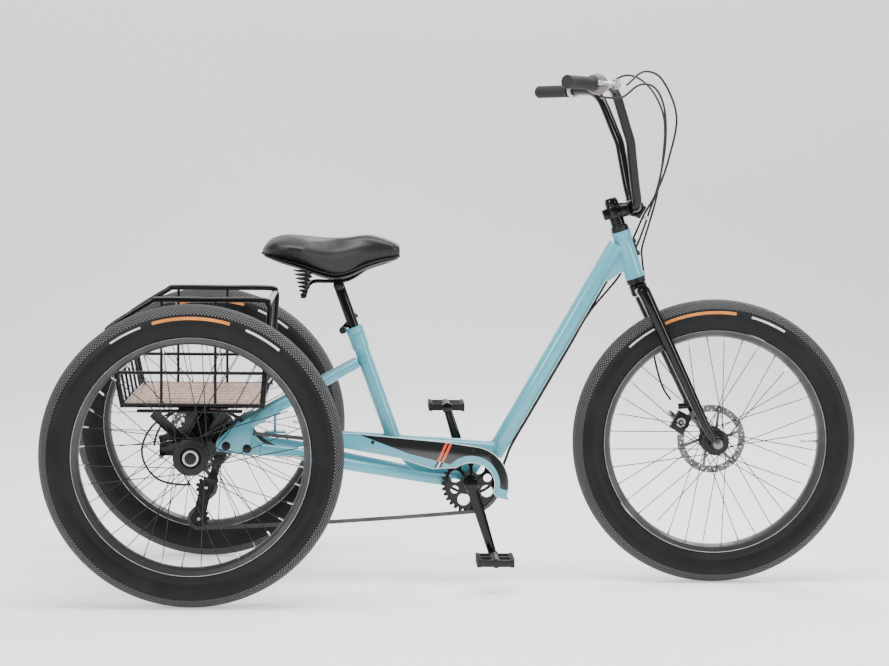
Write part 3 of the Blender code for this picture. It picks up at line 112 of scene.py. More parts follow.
class Link:
    """One value in a material's maths; Python operators on it add Math nodes."""

    def __init__(self, shader: "Shader", socket: bpy.types.NodeSocket) -> None:
        """Wrap one output socket of a shader's node."""
        self.shader = shader
        self.socket = socket

    def _math(self, operation: str, first: Any, second: Any) -> "Link":
        """Add one Math node and return its result."""
        return self.shader.node("Math", {"operation": operation}, {0: first, 1: second})

    def __add__(self, other: Any) -> "Link":
        """self + other."""
        return self._math("ADD", self, other)

    def __sub__(self, other: Any) -> "Link":
        """self - other."""
        return self._math("SUBTRACT", self, other)

    def __rsub__(self, other: Any) -> "Link":
        """other - self."""
        return self._math("SUBTRACT", other, self)

    def __mul__(self, other: Any) -> "Link":
        """self * other."""
        return self._math("MULTIPLY", self, other)

    __radd__ = __add__
    __rmul__ = __mul__

    def step(self, low: float, high: float) -> "Link":
        """A soft mask: 0 below low, 1 above high."""
        return self.shader.node("MapRange", {"interpolation_type": "SMOOTHSTEP"},
                                {"Value": self, "From Min": low, "From Max": high})

    def within(self, low: float, high: float, soft: float) -> "Link":
        """A soft mask: 1 between low and high, 0 outside."""
        return self.step(low - soft, low + soft) * (1.0 - self.step(high - soft, high + soft))


class Shader:
    """A node material, with one method that adds any node."""

    def __init__(self, name: str) -> None:
        """Start an empty material that ends in one Principled shader."""
        self.material = bpy.data.materials.new(name)
        self.material.use_nodes = True
        self.tree = self.material.node_tree
        self.surface = self.tree.nodes["Principled BSDF"]

    def feed(self, socket: bpy.types.NodeSocket, value: Any) -> None:
        """Link or set one socket."""
        if isinstance(value, Link):
            self.tree.links.new(value.socket, socket)
        else:
            socket.default_value = value

    def node(self, kind: str, settings: dict[str, Any], inputs: dict[Any, Any], output: Any = 0) -> Link:
        """Add one node.

        Args:
            kind: Its type, without the ShaderNode prefix.
            settings: Its properties.
            inputs: Values or links for its sockets, by name or number.
            output: The output socket to return.

        Returns:
            That output socket.
        """
        made = self.tree.nodes.new("ShaderNode" + kind)
        for key, value in settings.items():
            setattr(made, key, value)
        for key, value in inputs.items():
            self.feed(made.inputs[key], value)
        return Link(self, made.outputs[output])

    def place(self, scale: Sequence[float] = (1.0, 1.0, 1.0)) -> Link:
        """The point on the object, stretched by scale."""
        point = self.node("TexCoord", {}, {}, "Object")
        return self.node("Mapping", {}, {"Vector": point, "Scale": scale})

    def noise(self, scale: float, detail: float = 3.0, stretch: Sequence[float] = (1.0, 1.0, 1.0)) -> Link:
        """Soft noise from 0 to 1."""
        return self.node("TexNoise", {}, {"Vector": self.place(stretch), "Scale": scale, "Detail": detail})

    def axis(self, name: str) -> Link:
        """The point's X, Y or Z in metres."""
        return self.node("SeparateXYZ", {}, {0: self.place()}, name)

    def mix(self, mask: Link, low: Any, high: Any) -> Link:
        """A colour between low and high by a mask."""
        return self.node("Mix", {"data_type": "RGBA"}, {0: mask, 6: low, 7: high}, 2)

    def bump(self, height: Link, distance: float, strength: float = 1.0, under: Link | None = None) -> Link:
        """A normal bent by a height in metres of the given distance."""
        inputs: dict[Any, Any] = {"Height": height, "Distance": distance, "Strength": strength}
        if under is not None:
            inputs["Normal"] = under
        return self.node("Bump", {}, inputs)

    def dress(self, **sockets: Any) -> bpy.types.Material:
        """Set the Principled shader's sockets, named with _ for spaces, and return the material."""
        for key, value in sockets.items():
            self.feed(self.surface.inputs[key.replace("_", " ")], value)
        return self.material


def rgba(colour: Sequence[float], gain: float = 1.0) -> tuple[float, float, float, float]:
    """A colour with full alpha, made lighter or darker by gain."""
    return (colour[0] * gain, colour[1] * gain, colour[2] * gain, 1.0)


@dataclass(frozen=True)
class Enamel:
    """Glossy sprayed paint under a clear coat."""

    name: str
    colour: tuple[float, float, float]
    roughness: float = 0.22
    spread: float = 0.06
    shine: float = 1.0

    def material(self) -> bpy.types.Material:
        """Build the paint, with slight shade changes, orange peel and fine dust."""
        shader = Shader(self.name)
        cloud = shader.noise(5.0, 4.0)
        base = shader.mix(cloud, rgba(self.colour, 1.0 - self.spread), rgba(self.colour, 1.0 + self.spread))
        dust = shader.noise(160.0, 2.0).step(0.52, 0.80)
        peel = shader.bump(shader.noise(420.0, 1.0), 0.00006, 0.35)
        return shader.dress(Base_Color=base, Roughness=dust * 0.10 + self.roughness, Normal=peel,
                            Coat_Weight=0.65 * self.shine, Coat_Roughness=0.06,
                            Specular_IOR_Level=0.40 * self.shine)


@dataclass(frozen=True)
class Metal:
    """Plated, machined or anodised metal."""

    name: str
    colour: tuple[float, float, float]
    roughness: float = 0.22
    metallic: float = 1.0
    brush: tuple[float, float, float] = (40.0, 900.0, 40.0)

    def material(self) -> bpy.types.Material:
        """Build the metal, with brushing lines, smudges and a little tarnish."""
        shader = Shader(self.name)
        smudge = shader.noise(22.0, 4.0).step(0.35, 0.75)
        lines = shader.noise(1.0, 2.0, self.brush)
        base = shader.mix(smudge, rgba(self.colour), rgba(self.colour, 0.80))
        return shader.dress(Base_Color=base, Roughness=smudge * 0.12 + lines * 0.08 + self.roughness,
                            Metallic=self.metallic, Normal=shader.bump(lines, 0.00004, 0.30))


@dataclass(frozen=True)
class Moulded:
    """Moulded plastic or rubber with a spark-eroded grain."""

    name: str
    colour: tuple[float, float, float]
    roughness: float = 0.48
    grain: float = 900.0
    depth: float = 0.00008

    def material(self) -> bpy.types.Material:
        """Build the moulding's grain and handling marks."""
        shader = Shader(self.name)
        wear_and_highlight = shader.noise(30.0, 4.0).step(0.45, 0.80)
        grain = shader.noise(self.grain, 2.0)
        base = shader.mix(wear_and_highlight, rgba(self.colour), rgba(self.colour, 1.45))
        return shader.dress(Base_Color=base, Roughness=wear_and_highlight * 0.10 + self.roughness,
                            Normal=shader.bump(grain, self.depth, 0.6), Specular_IOR_Level=0.35)


@dataclass(frozen=True)
class Rubber:
    """Tyre rubber: dusty, with the tops of its tread blocks painted pale grey as a highlight."""

    name: str = "tyre_carcass"
    colour: tuple[float, float, float] = (0.0075, 0.0078, 0.0085)
    # Pale grey painted on the tread block tops, standing in for the highlights on the knurled crown.
    wear_and_highlight: tuple[float, float, float] = (0.100, 0.101, 0.105)

    def material(self) -> bpy.types.Material:
        """Build the rubber, with bloom and a fine matt skin."""
        shader = Shader(self.name)
        bloom = shader.noise(14.0, 5.0).step(0.35, 0.80)
        skin = shader.noise(700.0, 3.0)
        base = shader.mix(bloom, rgba(self.colour), rgba(self.colour, 1.7))
        # Painted highlight: faces marked as tread tops take the pale grey instead of the rubber's own
        # colour.
        base = shader.mix(shader.node("Attribute", {"attribute_name": "tread"}, {}, "Fac"), base,
                          rgba(self.wear_and_highlight))
        return shader.dress(Base_Color=base, Roughness=bloom * 0.12 + 0.46,
                            Normal=shader.bump(skin, 0.00012, 0.6), Specular_IOR_Level=0.16)


@dataclass(frozen=True)
class Vinyl:
    """Smooth saddle vinyl with a faint leather grain."""

    name: str = "saddle_cover"

    def material(self) -> bpy.types.Material:
        """Build the cover: small cells, a soft crease pattern and a satin shine."""
        shader = Shader(self.name)
        cells = shader.node("TexVoronoi", {"feature": "DISTANCE_TO_EDGE"},
                            {"Vector": shader.place(), "Scale": 620.0}).step(0.0, 0.22)
        crease = shader.noise(38.0, 4.0)
        base = shader.mix(crease, (0.005, 0.005, 0.006, 1.0), (0.010, 0.010, 0.011, 1.0))
        fine = shader.bump(cells, 0.00010, 0.5)
        return shader.dress(Base_Color=base, Roughness=0.40 - cells * 0.07 + crease * 0.06,
                            Normal=shader.bump(crease, 0.0006, 0.25, fine), Coat_Weight=0.06,
                            Coat_Roughness=0.35, Specular_IOR_Level=0.32)


@dataclass(frozen=True)
class Board:
    """A thin sealed wooden board whose grain runs across the trike."""

    name: str = "floor_board"

    def material(self) -> bpy.types.Material:
        """Build the board's grain, pores and seal."""
        shader = Shader(self.name)
        grain = shader.noise(1.0, 6.0, (190.0, 9.0, 60.0))
        pores = shader.noise(1.0, 3.0, (1300.0, 60.0, 300.0)).step(0.55, 0.75)
        base = shader.mix(grain.step(0.30, 0.72), (0.50, 0.32, 0.26, 1.0), (0.30, 0.165, 0.115, 1.0))
        base = shader.mix(pores * 0.55, base, (0.16, 0.085, 0.055, 1.0))
        return shader.dress(Base_Color=base, Roughness=grain * 0.18 + 0.38,
                            Normal=shader.bump(grain + pores * -0.5, 0.00025, 0.5), Coat_Weight=0.15,
                            Coat_Roughness=0.25)


@dataclass(frozen=True)
class GuardPaint:
    """The chain guard's paint, with its dark wedge, pale edge line and coloured stripes."""

    name: str = "guard_paint"
    colour: tuple[float, float, float] = TEAL
    ink: tuple[float, float, float] = (0.0045, 0.0045, 0.0050)
    orange: tuple[float, float, float] = (0.75, 0.085, 0.025)
    white: tuple[float, float, float] = (0.75, 0.75, 0.75)
    soft: float = 0.0004
    clear_radius: float = 0.066

    def material(self) -> bpy.types.Material:
        """Build the printed sheet: bands across its length over the enamel."""
        soft = self.soft
        shader = Shader(self.name)
        x = shader.axis("X")
        z = shader.axis("Z")
        cloud = shader.noise(5.0, 4.0)
        paint = shader.mix(cloud, rgba(self.colour, 0.94), rgba(self.colour, 1.06))
        # The dark wedge starts as a point, widens forwards and runs down the hook, clear of its inner edge.
        top = 0.3475 - (x + 0.245) * 0.09
        steep = 0.3495 - (x + 0.2408) * 0.375
        shallow = 0.3022 - (x + 0.1147) * 0.25
        across, rise = x - BRACKET.x, z - BRACKET.z
        clear = (across * across + rise * rise - self.clear_radius ** 2).step(-0.00006, 0.00006)
        wedge = (top - z).step(-soft, soft) * (z - steep).step(-soft, soft) * clear
        wedge = wedge * ((z - shallow).step(-soft, soft) + x.step(0.0, 0.0010)) * z.step(0.2200, 0.2206)
        dark = shader.mix(wedge, paint, rgba(self.ink))
        lean = x - (z - 0.30) * 0.45
        bars = lean.within(-0.0460, -0.0400, soft) + lean.within(-0.0356, -0.0296, soft)
        between = lean.within(-0.0396, -0.0360, soft)
        below = (shallow - z).step(-soft, soft)
        striped = shader.mix(bars * wedge, dark, rgba(self.orange))
        striped = shader.mix(bars * below, striped, rgba(self.ink))
        striped = shader.mix(between * below, striped, rgba(self.white))
        peel = shader.bump(shader.noise(420.0, 1.0), 0.00006, 0.35)
        return shader.dress(Base_Color=striped, Roughness=cloud * 0.06 + 0.22, Normal=peel,
                            Coat_Weight=0.65, Coat_Roughness=0.06)


class Finishes:
    """Every finish of the tricycle, made once."""

    def __init__(self) -> None:
        """Build all the materials."""
        black = (0.0035, 0.0035, 0.0040)
        satin = (0.008, 0.008, 0.009)
        self.teal = Enamel("teal_enamel", TEAL).material()
        self.black = Enamel("black_enamel", black, 0.13, 0.10, 0.42).material()
        self.guard = GuardPaint().material()
        self.guard_edge = Moulded("guard_edge_trim", (0.62, 0.64, 0.65), 0.30, 300.0, 0.00003).material()
        self.plastic = Moulded("black_moulding", satin).material()
        self.anodised = Metal("black_anodising", (0.016, 0.016, 0.018), 0.34, 0.60).material()
        self.steel = Metal("bright_plating", (0.66, 0.66, 0.66), 0.16).material()
        self.alloy = Metal("brushed_alloy", (0.52, 0.52, 0.53), 0.30).material()
        self.chain = Metal("oiled_steel", (0.10, 0.098, 0.095), 0.34, 0.9).material()
        self.disc = Metal("disc_steel", (0.20, 0.20, 0.205), 0.26).material()
        self.spoke = Metal("black_spokes", (0.022, 0.022, 0.024), 0.30, 0.8).material()
        self.rim = Metal("rim_anodising", (0.060, 0.062, 0.066), 0.34, 0.8).material()
        self.tyre = Rubber().material()
        self.grip = Moulded("grip_moulding", (0.014, 0.014, 0.015), 0.62, 420.0, 0.00025).material()
        self.shifter = Moulded("shifter_moulding", (0.130, 0.130, 0.135), 0.42).material()
        self.mark_red = Moulded("warm_mark", (0.60, 0.20, 0.035), 0.45, 300.0, 0.00003).material()
        self.mark_white = Moulded("pale_mark", (0.60, 0.60, 0.60), 0.50, 300.0, 0.00003).material()
        self.rose = Moulded("rose_ring", (0.55, 0.20, 0.20), 0.40).material()
        self.vinyl = Vinyl().material()
        self.board = Board().material()


# --- Modelling ---

def as_points(points: Iterable[Sequence[float]]) -> list[Vector]:
    """Plain numbers as vectors."""
    return [Vector(point) for point in points]


def smooth_path(points: Iterable[Sequence[float]], steps: int) -> list[Vector]:
    """Points along a smooth curve through the given ones.

    Args:
        points: The places the curve passes through.
        steps: How many pieces each span is cut into.

    Returns:
        The points, ends included.
    """
    route = as_points(points)
    ends = [2 * route[0] - route[1]] + route + [2 * route[-1] - route[-2]]
    found = []
    for a, b, c, d in zip(ends, ends[1:], ends[2:], ends[3:]):
        for step in range(steps):
            t = step / steps
            found.append(0.5 * (2 * b + (c - a) * t + (2 * a - 5 * b + 4 * c - d) * t ** 2
                                + (3 * b - a - 3 * c + d) * t ** 3))
    return found + [route[-1]]


def head_at(height: float, forward: float = 0.0, y: float = 0.0) -> Vector:
    """A point by its height along the steering axis and its distance ahead of it."""
    point = HEAD_POINT + HEAD_UP * height + HEAD_FRONT * forward
    return Vector((point.x, y, point.z))


def sleeve(inner: float, outer: float, low: float, high: float) -> list[tuple[float, float]]:
    """The section of a square-cornered sleeve, from inner to outer radius and low to high."""
    return [(inner, low), (outer, low), (outer, high), (inner, high)]


def mirrored(points: Iterable[Sequence[float]]) -> list[Vector]:
    """The same points on the other side of the trike."""
    return [Vector((point[0], -point[1], point[2])) for point in points]


class Form:
    """A mesh being modelled out of closed parts."""

    def __init__(self) -> None:
        """Start with nothing."""
        self.bm = bmesh.new()

    def take(self, part: bmesh.types.BMesh, edge: float = 0.0, segments: int = 2) -> "Form":
        """Round a finished part's hard edges and add it.

        Args:
            part: The part's own bmesh, which is freed.
            edge: Radius of its hard edges, or 0 for none.
            segments: Steps across each rounded edge.

        Returns:
            This form.
        """
        bmesh.ops.remove_doubles(part, verts=part.verts, dist=MERGE)
        bmesh.ops.recalc_face_normals(part, faces=part.faces)
        if edge:
            hard = [e for e in part.edges if len(e.link_faces) == 2 and e.calc_face_angle(0.0) > HARD_ANGLE]
            bmesh.ops.bevel(part, geom=hard, offset=edge, offset_type="OFFSET", segments=segments,
                            profile=0.5, affect="EDGES", clamp_overlap=True, material=-1)
        mesh = bpy.data.meshes.new("part")
        part.to_mesh(mesh)
        part.free()
        self.bm.from_mesh(mesh)
        bpy.data.meshes.remove(mesh)
        return self

    def rod(self, start: Sequence[float], end: Sequence[float], radius: float,
            end_radius: float | None = None, sides: int = 24, edge: float = 0.0) -> "Form":
        """A round bar or cone between two points."""
        start = Vector(start)
        run = Vector(end) - start
        turn = run.to_track_quat("Z", "Y").to_matrix().to_4x4()
        part = bmesh.new()
        bmesh.ops.create_cone(part, cap_ends=True, cap_tris=False, segments=sides, radius1=radius,
                              radius2=radius if end_radius is None else end_radius, depth=run.length,
                              matrix=Matrix.Translation(start + run * 0.5) @ turn)
        return self.take(part, edge)

    def across(self, centre: Sequence[float], y_from: float, y_to: float, radius: float, sides: int = 32,
               edge: float = 0.0) -> "Form":
        """A round bar that lies across the trike, through centre's X and Z."""
        return self.rod((centre[0], y_from, centre[2]), (centre[0], y_to, centre[2]), radius, sides=sides,
                        edge=edge)

    def flank(self, centre: Sequence[float], side: float, near: float, far: float, radius: float,
              sides: int = 32, edge: float = 0.0) -> "Form":
        """A round bar across the trike on one side, between two distances from its middle."""
        low, high = sorted((side * near, side * far))
        return self.across(centre, low, high, radius, sides, edge)

    def block(self, centre: Sequence[float], size: Sequence[float], tilt: float = 0.0, edge: float = 0.001,
              turn: float = 0.0) -> "Form":
        """A block with rounded edges, its +X end lifted by tilt and turned about Z by turn."""
        place = Matrix.Translation(Vector(centre)) @ Matrix.Rotation(turn, 4, "Z")
        place = place @ Matrix.Rotation(-tilt, 4, "Y")
        part = bmesh.new()
        bmesh.ops.create_cube(part, size=1.0, matrix=place @ Matrix.Diagonal((*size, 1.0)))
        return self.take(part, edge)

    def bar(self, start: Sequence[float], end: Sequence[float], width: float, thickness: float,
            edge: float = 0.001) -> "Form":
        """A flat bar between two points at one Y, its broad side facing across the trike."""
        start, end = Vector(start), Vector(end)
        run = end - start
        return self.block((start + end) * 0.5, (run.length, thickness, width), math.atan2(run.z, run.x),
                          edge)

    def plate(self, outline: Iterable[Sequence[float]], y_from: float, y_to: float,
              edge: float = 0.0006) -> "Form":
        """A flat plate: an outline of (x, z) points, extruded across the trike."""
        part = bmesh.new()
        face = part.faces.new([part.verts.new((x, y_from, z)) for x, z in outline])
        swept = bmesh.ops.extrude_face_region(part, geom=[face])["geom"]
        moved = [item for item in swept if isinstance(item, bmesh.types.BMVert)]
        bmesh.ops.translate(part, verts=moved, vec=(0.0, y_to - y_from, 0.0))
        return self.take(part, edge)

    def sweep(self, path: Sequence[Sequence[float]], sizes: Any, sides: int = 20,
              closed: bool = False) -> "Form":
        """A round or oval tube along a path.

        Args:
            path: The tube's middle line.
            sizes: One radius, or one (half width, half height) for each point.
            sides: Faces around it.
            closed: Whether its ends join.

        Returns:
            This form.
        """
        route = as_points(path)
        count = len(route)
        spans = [(sizes, sizes)] * count if isinstance(sizes, float) else sizes
        ways = []
        for index, point in enumerate(route):
            before = route[index - 1] if index or closed else point
            after = route[(index + 1) % count] if index < count - 1 or closed else point
            ways.append((after - before).normalized())
        spin = ways[0].to_track_quat("Z", "Y")
        places = []
        for index, point in enumerate(route):
            if index:
                spin = ways[index - 1].rotation_difference(ways[index]) @ spin
            place = Matrix.Translation(point) @ spin.to_matrix().to_4x4()
            places.append(place @ Matrix.Diagonal((*spans[index], 1.0, 1.0)))
        part = bmesh.new()
        bmesh.ops.create_circle(part, cap_ends=False, segments=sides, radius=1.0, matrix=places[0])
        first = ring = list(part.edges)
        for last, here in zip(places, places[1:]):
            grown = bmesh.ops.extrude_edge_only(part, edges=ring)["geom"]
            ring = [item for item in grown if isinstance(item, bmesh.types.BMEdge) and item.is_boundary]
            verts = [item for item in grown if isinstance(item, bmesh.types.BMVert)]
            bmesh.ops.transform(part, matrix=here @ last.inverted(), verts=verts)
        if closed:
            bmesh.ops.bridge_loops(part, edges=first + ring)
        else:
            bmesh.ops.edgeloop_fill(part, edges=first)
            bmesh.ops.edgeloop_fill(part, edges=ring)
        return self.take(part)

    def tube(self, points: Iterable[Sequence[float]], radius: float, sides: int = 20,
             steps: int = 6) -> "Form":
        """A round tube along a smooth curve through points."""
        return self.sweep(smooth_path(points, steps), radius, sides)

    def lathe(self, profile: Iterable[Sequence[float]], centre: Sequence[float],
              axis: Sequence[float] = (0.0, 1.0, 0.0), steps: int = 64, closed: bool = True,
              edge: float = 0.0) -> "Form":
        """A turned shape.

        Args:
            profile: Outline of (radius, distance along the axis) points.
            centre: A point on the axis.
            axis: Its direction.
            steps: Faces around it.
            closed: Whether the outline is a loop; an open one starts and ends on the axis.
            edge: Radius of its hard edges.

        Returns:
            This form.
        """
        line = Vector(axis).normalized()
        side = line.orthogonal().normalized()
        part = bmesh.new()
        verts = [part.verts.new(Vector(centre) + side * r + line * along) for r, along in profile]
        pairs = list(zip(verts, verts[1:])) + ([(verts[-1], verts[0])] if closed else [])
        edges = [part.edges.new(pair) for pair in pairs]
        bmesh.ops.spin(part, geom=verts + edges, cent=centre, axis=line, angle=2.0 * math.pi, steps=steps,
                       use_merge=True, use_duplicate=False)
        return self.take(part, edge)

    def ring(self, centre: Sequence[float], axis: Sequence[float], radius: float, thickness: float,
             steps: int = 48, sides: int = 10) -> "Form":
        """A round wire bent into a circle."""
        profile = [(radius + thickness * math.cos(2 * math.pi * i / sides),
                    thickness * math.sin(2 * math.pi * i / sides)) for i in range(sides)]
        return self.lathe(profile, centre, axis, steps)

    def weld(self, start: Vector, way: Vector, radius: float, other: Vector, other_way: Vector,
             other_radius: float, bead: float = 0.0019) -> "Form":
        """A rippled weld bead where one round tube meets the side of another.

        Args:
            start: A point on the joining tube's middle line, outside the other tube.
            way: Its direction towards the other tube.
            radius: Its radius.
            other: A point on the other tube's middle line.
            other_way: The other tube's direction.
            other_radius: The other tube's radius.
            bead: Radius of the bead.

        Returns:
            This form.
        """
        way, other_way = way.normalized(), other_way.normalized()
        side = way.orthogonal().normalized()
        up = way.cross(side)
        count = 56
        path, sizes = [], []
        for index in range(count):
            angle = 2.0 * math.pi * index / count
            origin = start + (side * math.cos(angle) + up * math.sin(angle)) * radius
            gap = origin - other
            flat_gap = gap - other_way * gap.dot(other_way)
            flat_way = way - other_way * way.dot(other_way)
            a, b = flat_way.dot(flat_way), 2.0 * flat_gap.dot(flat_way)
            inside = max(0.0, b * b - 4.0 * a * (flat_gap.dot(flat_gap) - other_radius ** 2))
            path.append(origin + way * ((-b - math.sqrt(inside)) / (2.0 * a)))
            size = bead * (1.0 + 0.14 * (index % 2))
            sizes.append((size, size))
        return self.sweep(path, sizes, 8, closed=True)

    def mirror(self) -> "Form":
        """Add this form's own reflection on the trike's other side."""
        copied = bmesh.ops.duplicate(self.bm,
                                     geom=self.bm.verts[:] + self.bm.edges[:] + self.bm.faces[:])["geom"]
        verts = [item for item in copied if isinstance(item, bmesh.types.BMVert)]
        faces = [item for item in copied if isinstance(item, bmesh.types.BMFace)]
        bmesh.ops.scale(self.bm, vec=(1.0, -1.0, 1.0), verts=verts)
        bmesh.ops.reverse_faces(self.bm, faces=faces)
        return self

    def object(self, name: str) -> bpy.types.Object:
        """Turn the form into an object with smooth faces and crisp edges."""
        mesh = bpy.data.meshes.new(name)
        self.bm.to_mesh(mesh)
        self.bm.free()
        mesh.shade_smooth()
        mesh.set_sharp_from_angle(angle=HARD_ANGLE)
        made = bpy.data.objects.new(name, mesh)
        bpy.context.scene.collection.objects.link(made)
        return made

    def piece(self, name: str, body: str, slot: Slot, finish: bpy.types.Material,
              stands_for: Sequence[str] = (), cuts: "Form | None" = None) -> bpy.types.Object:
        """Finish the form as one piece of the tricycle.

        Args:
            name: The piece's name.
            body: The CAD body it rides on.
            slot: The material slot for its finish; not used.
            finish: Its material.
            stands_for: The CAD nodes it replaces.
            cuts: Shapes taken away from it.

        Returns:
            The finished object.
        """
        made = self.object(name)
        if cuts is not None:
            carve(made, cuts)
        return settle(made, body, finish, stands_for)


def settle(made: bpy.types.Object, body: str, finish: bpy.types.Material,
           stands_for: Sequence[str] = ()) -> bpy.types.Object:
    """Give an object its material and body, and log it."""
    made.data.materials.clear()
    made.data.materials.append(finish)
    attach(made, body)
    if stands_for:
        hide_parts(*stands_for)
    LOG.info("%s rides on %s", made.name, body)
    return made


def carve(target: bpy.types.Object, cuts: Form) -> None:
    """Take shapes away from an object with one exact Boolean."""
    tool = cuts.object("cutter")
    modifier = target.modifiers.new("carve", "BOOLEAN")
    modifier.operation = "DIFFERENCE"
    modifier.solver = "EXACT"
    modifier.use_self = True
    modifier.object = tool
    apply_modifiers(target)
    bpy.data.objects.remove(tool)
    target.data.shade_smooth()
    target.data.set_sharp_from_angle(angle=HARD_ANGLE)


def apply_modifiers(target: bpy.types.Object) -> None:
    """Bake an object's modifiers into its mesh."""
    bpy.context.view_layer.update()
    graph = bpy.context.evaluated_depsgraph_get()
    mesh = bpy.data.meshes.new_from_object(target.evaluated_get(graph))
    target.modifiers.clear()
    target.data = mesh


def refine(node: str, body: str, slot: Slot, finish: bpy.types.Material,
           edge: float = 0.0005) -> bpy.types.Object:
    """A machined or cast CAD part with its facets joined and its edges eased.

    Args:
        node: The CAD node to copy and replace.
        body: The body it rides on.
        slot: Its material slot; not used.
        finish: Its material.
        edge: Radius of its eased edges.

    Returns:
        The finished object.
    """
    mesh = frame["nodes"][node].data.copy()
    custom = mesh.attributes.get("custom_normal")
    if custom is not None:
        mesh.attributes.remove(custom)
    part = bmesh.new()
    part.from_mesh(mesh)
    bmesh.ops.remove_doubles(part, verts=part.verts, dist=MERGE)
    bmesh.ops.dissolve_limit(part, angle_limit=math.radians(1.0), verts=part.verts, edges=part.edges)
    return Form().take(part, edge).piece(node + "_finished", body, slot, finish, [node])


# --- Wheels ---

@dataclass(frozen=True)
class Wheel:
    """One spoked wheel with a fat tyre, and what turns with it."""

    name: str
    centre: Vector
    body: str
    flange_radius: float
    flange_y: float
    hub_half: float
    spoke_count: int = 36
    cross: float = math.radians(60.0)
    section_radius: float = 0.2925
    section_rise: float = 0.0375
    section_half: float = 0.0385
    tread_columns: int = 264

    def build(self, finishes: Finishes) -> None:
        """Make the wheel's pieces."""
        self.tyre(finishes)
        self.rim(finishes)
        self.spokes(finishes)
        self.hub(finishes)

    def at(self, radius: float, angle: float, y: float) -> Vector:
        """A point on the wheel by radius, angle and distance along its axle."""
        return self.centre + Vector((radius * math.cos(angle), y, radius * math.sin(angle)))

    def tyre_outline(self) -> list[tuple[float, float]]:
        """The tyre's section: ribbed sidewalls, the crown, and back along the inside."""
        outer = [(0.2606, 0.0240), (0.2628, 0.0262)]
        for degrees in range(-40, 20, 4):
            angle = math.radians(degrees)
            rib = 0.0006 if degrees in (-28, -12, 8) else 0.0
            outer.append((self.section_radius + (self.section_rise + rib) * math.sin(angle),
                          (self.section_half - 0.0006 + rib) * math.cos(angle)))
        for step in range(6):
            angle = math.radians(24.0 + step * 12.4)
            outer.append((self.section_radius + (self.section_rise - 0.0011) * math.sin(angle),
                          (self.section_half - 0.0011) * math.cos(angle)))
        inside = [(0.3200, 0.0120), (0.2930, 0.0325), (0.2606, 0.0200)]
        half = outer + [(self.section_radius + self.section_rise - 0.0011, 0.0)]
        across = half + [(r, -y) for r, y in reversed(outer)]
        return across + [(r, -y) for r, y in reversed(inside)] + inside

    def tyre(self, finishes: Finishes) -> None:
        """Turn the tyre, cut its crown into raised diamonds and add its plain marks."""
        form = Form().lathe(self.tyre_outline(), self.centre, steps=self.tread_columns)
        bm = form.bm
        tread = bm.faces.layers.float.new("tread")
        crown_radius = self.section_radius + self.section_rise * math.sin(math.radians(27.0))

        def on_crown(face: bmesh.types.BMFace) -> bool:
            """Whether a face is part of the outer crown."""
            middle = face.calc_center_median() - self.centre
            middle.y = 0.0
            return middle.length > crown_radius and face.normal.dot(middle) > 0.0 and middle.length > 0.3085

        bm.normal_update()
        crown = {face for face in bm.faces if on_crown(face)}
        inner = [edge for edge in bm.edges
                 if len(edge.link_faces) == 2 and all(face in crown for face in edge.link_faces)]
        bmesh.ops.poke(bm, faces=list(crown))
        bmesh.ops.dissolve_edges(bm, edges=inner, use_verts=False)
        bm.normal_update()
        blocks = [face for face in bm.faces if on_crown(face) and len(face.verts) == 4]
        bmesh.ops.inset_individual(bm, faces=blocks, thickness=0.00085, depth=0.0012, use_even_offset=True)
        # Mark the raised block tops; the rubber paints them pale grey as a highlight.
        for block in blocks:
            block[tread] = 1.0
        form.piece(self.name + "_tyre_rubber", self.body, Slot.TYRE, finishes.tyre, [self.name + "_tyre"])
        turn = 8.0 if self.name == "front" else 0.0
        for label, start, arc, tall, finish in (("warm", 74.0, 32.0, 0.0046, finishes.mark_red),
                                                ("pale", 111.0, 14.0, 0.0022, finishes.mark_white),
                                                ("short", 51.0, 16.0, 0.0030, finishes.mark_white)):
            mark = Form()
            for side in (-1.0, 1.0):
                path = [self.at(0.3000, math.radians(start + turn + arc * step / 16.0), side * 0.0374)
                        for step in range(17)]
                mark.sweep(path, [(0.0008, tall)] * len(path), 10)
            mark.piece(f"{self.name}_{label}_mark", self.body, Slot.TYRE, finish)

    def rim(self, finishes: Finishes) -> None:
        """Turn the hollow-looking box rim, its machined lines and the valve."""
        outline = [(0.2435, -0.0125), (0.2428, 0.0), (0.2435, 0.0125), (0.2480, 0.0205), (0.2592, 0.0245),
                   (0.2598, 0.0225), (0.2520, 0.0195), (0.2505, 0.0), (0.2520, -0.0195), (0.2598, -0.0225),
                   (0.2592, -0.0245), (0.2480, -0.0205)]
        Form().lathe(outline, self.centre, steps=96).piece(
            self.name + "_rim_hoop", self.body, Slot.RIM, finishes.rim, [self.name + "_rim"])
        lines = Form()
        for side in (-1.0, 1.0):
            lines.ring(self.centre + Vector((0.0, side * 0.0243, 0.0)), (0.0, 1.0, 0.0), 0.2584, 0.0006, 96,
                       6)
        lines.rod(self.at(0.2440, 0.0, 0.0), self.at(0.2080, 0.0, 0.0), 0.0028, sides=12, edge=0.0004)
        lines.rod(self.at(0.2140, 0.0, 0.0), self.at(0.2020, 0.0, 0.0), 0.0040, 0.0034, sides=12,
                  edge=0.0005)
        lines.piece(self.name + "_rim_lines", self.body, Slot.STEEL, finishes.steel)

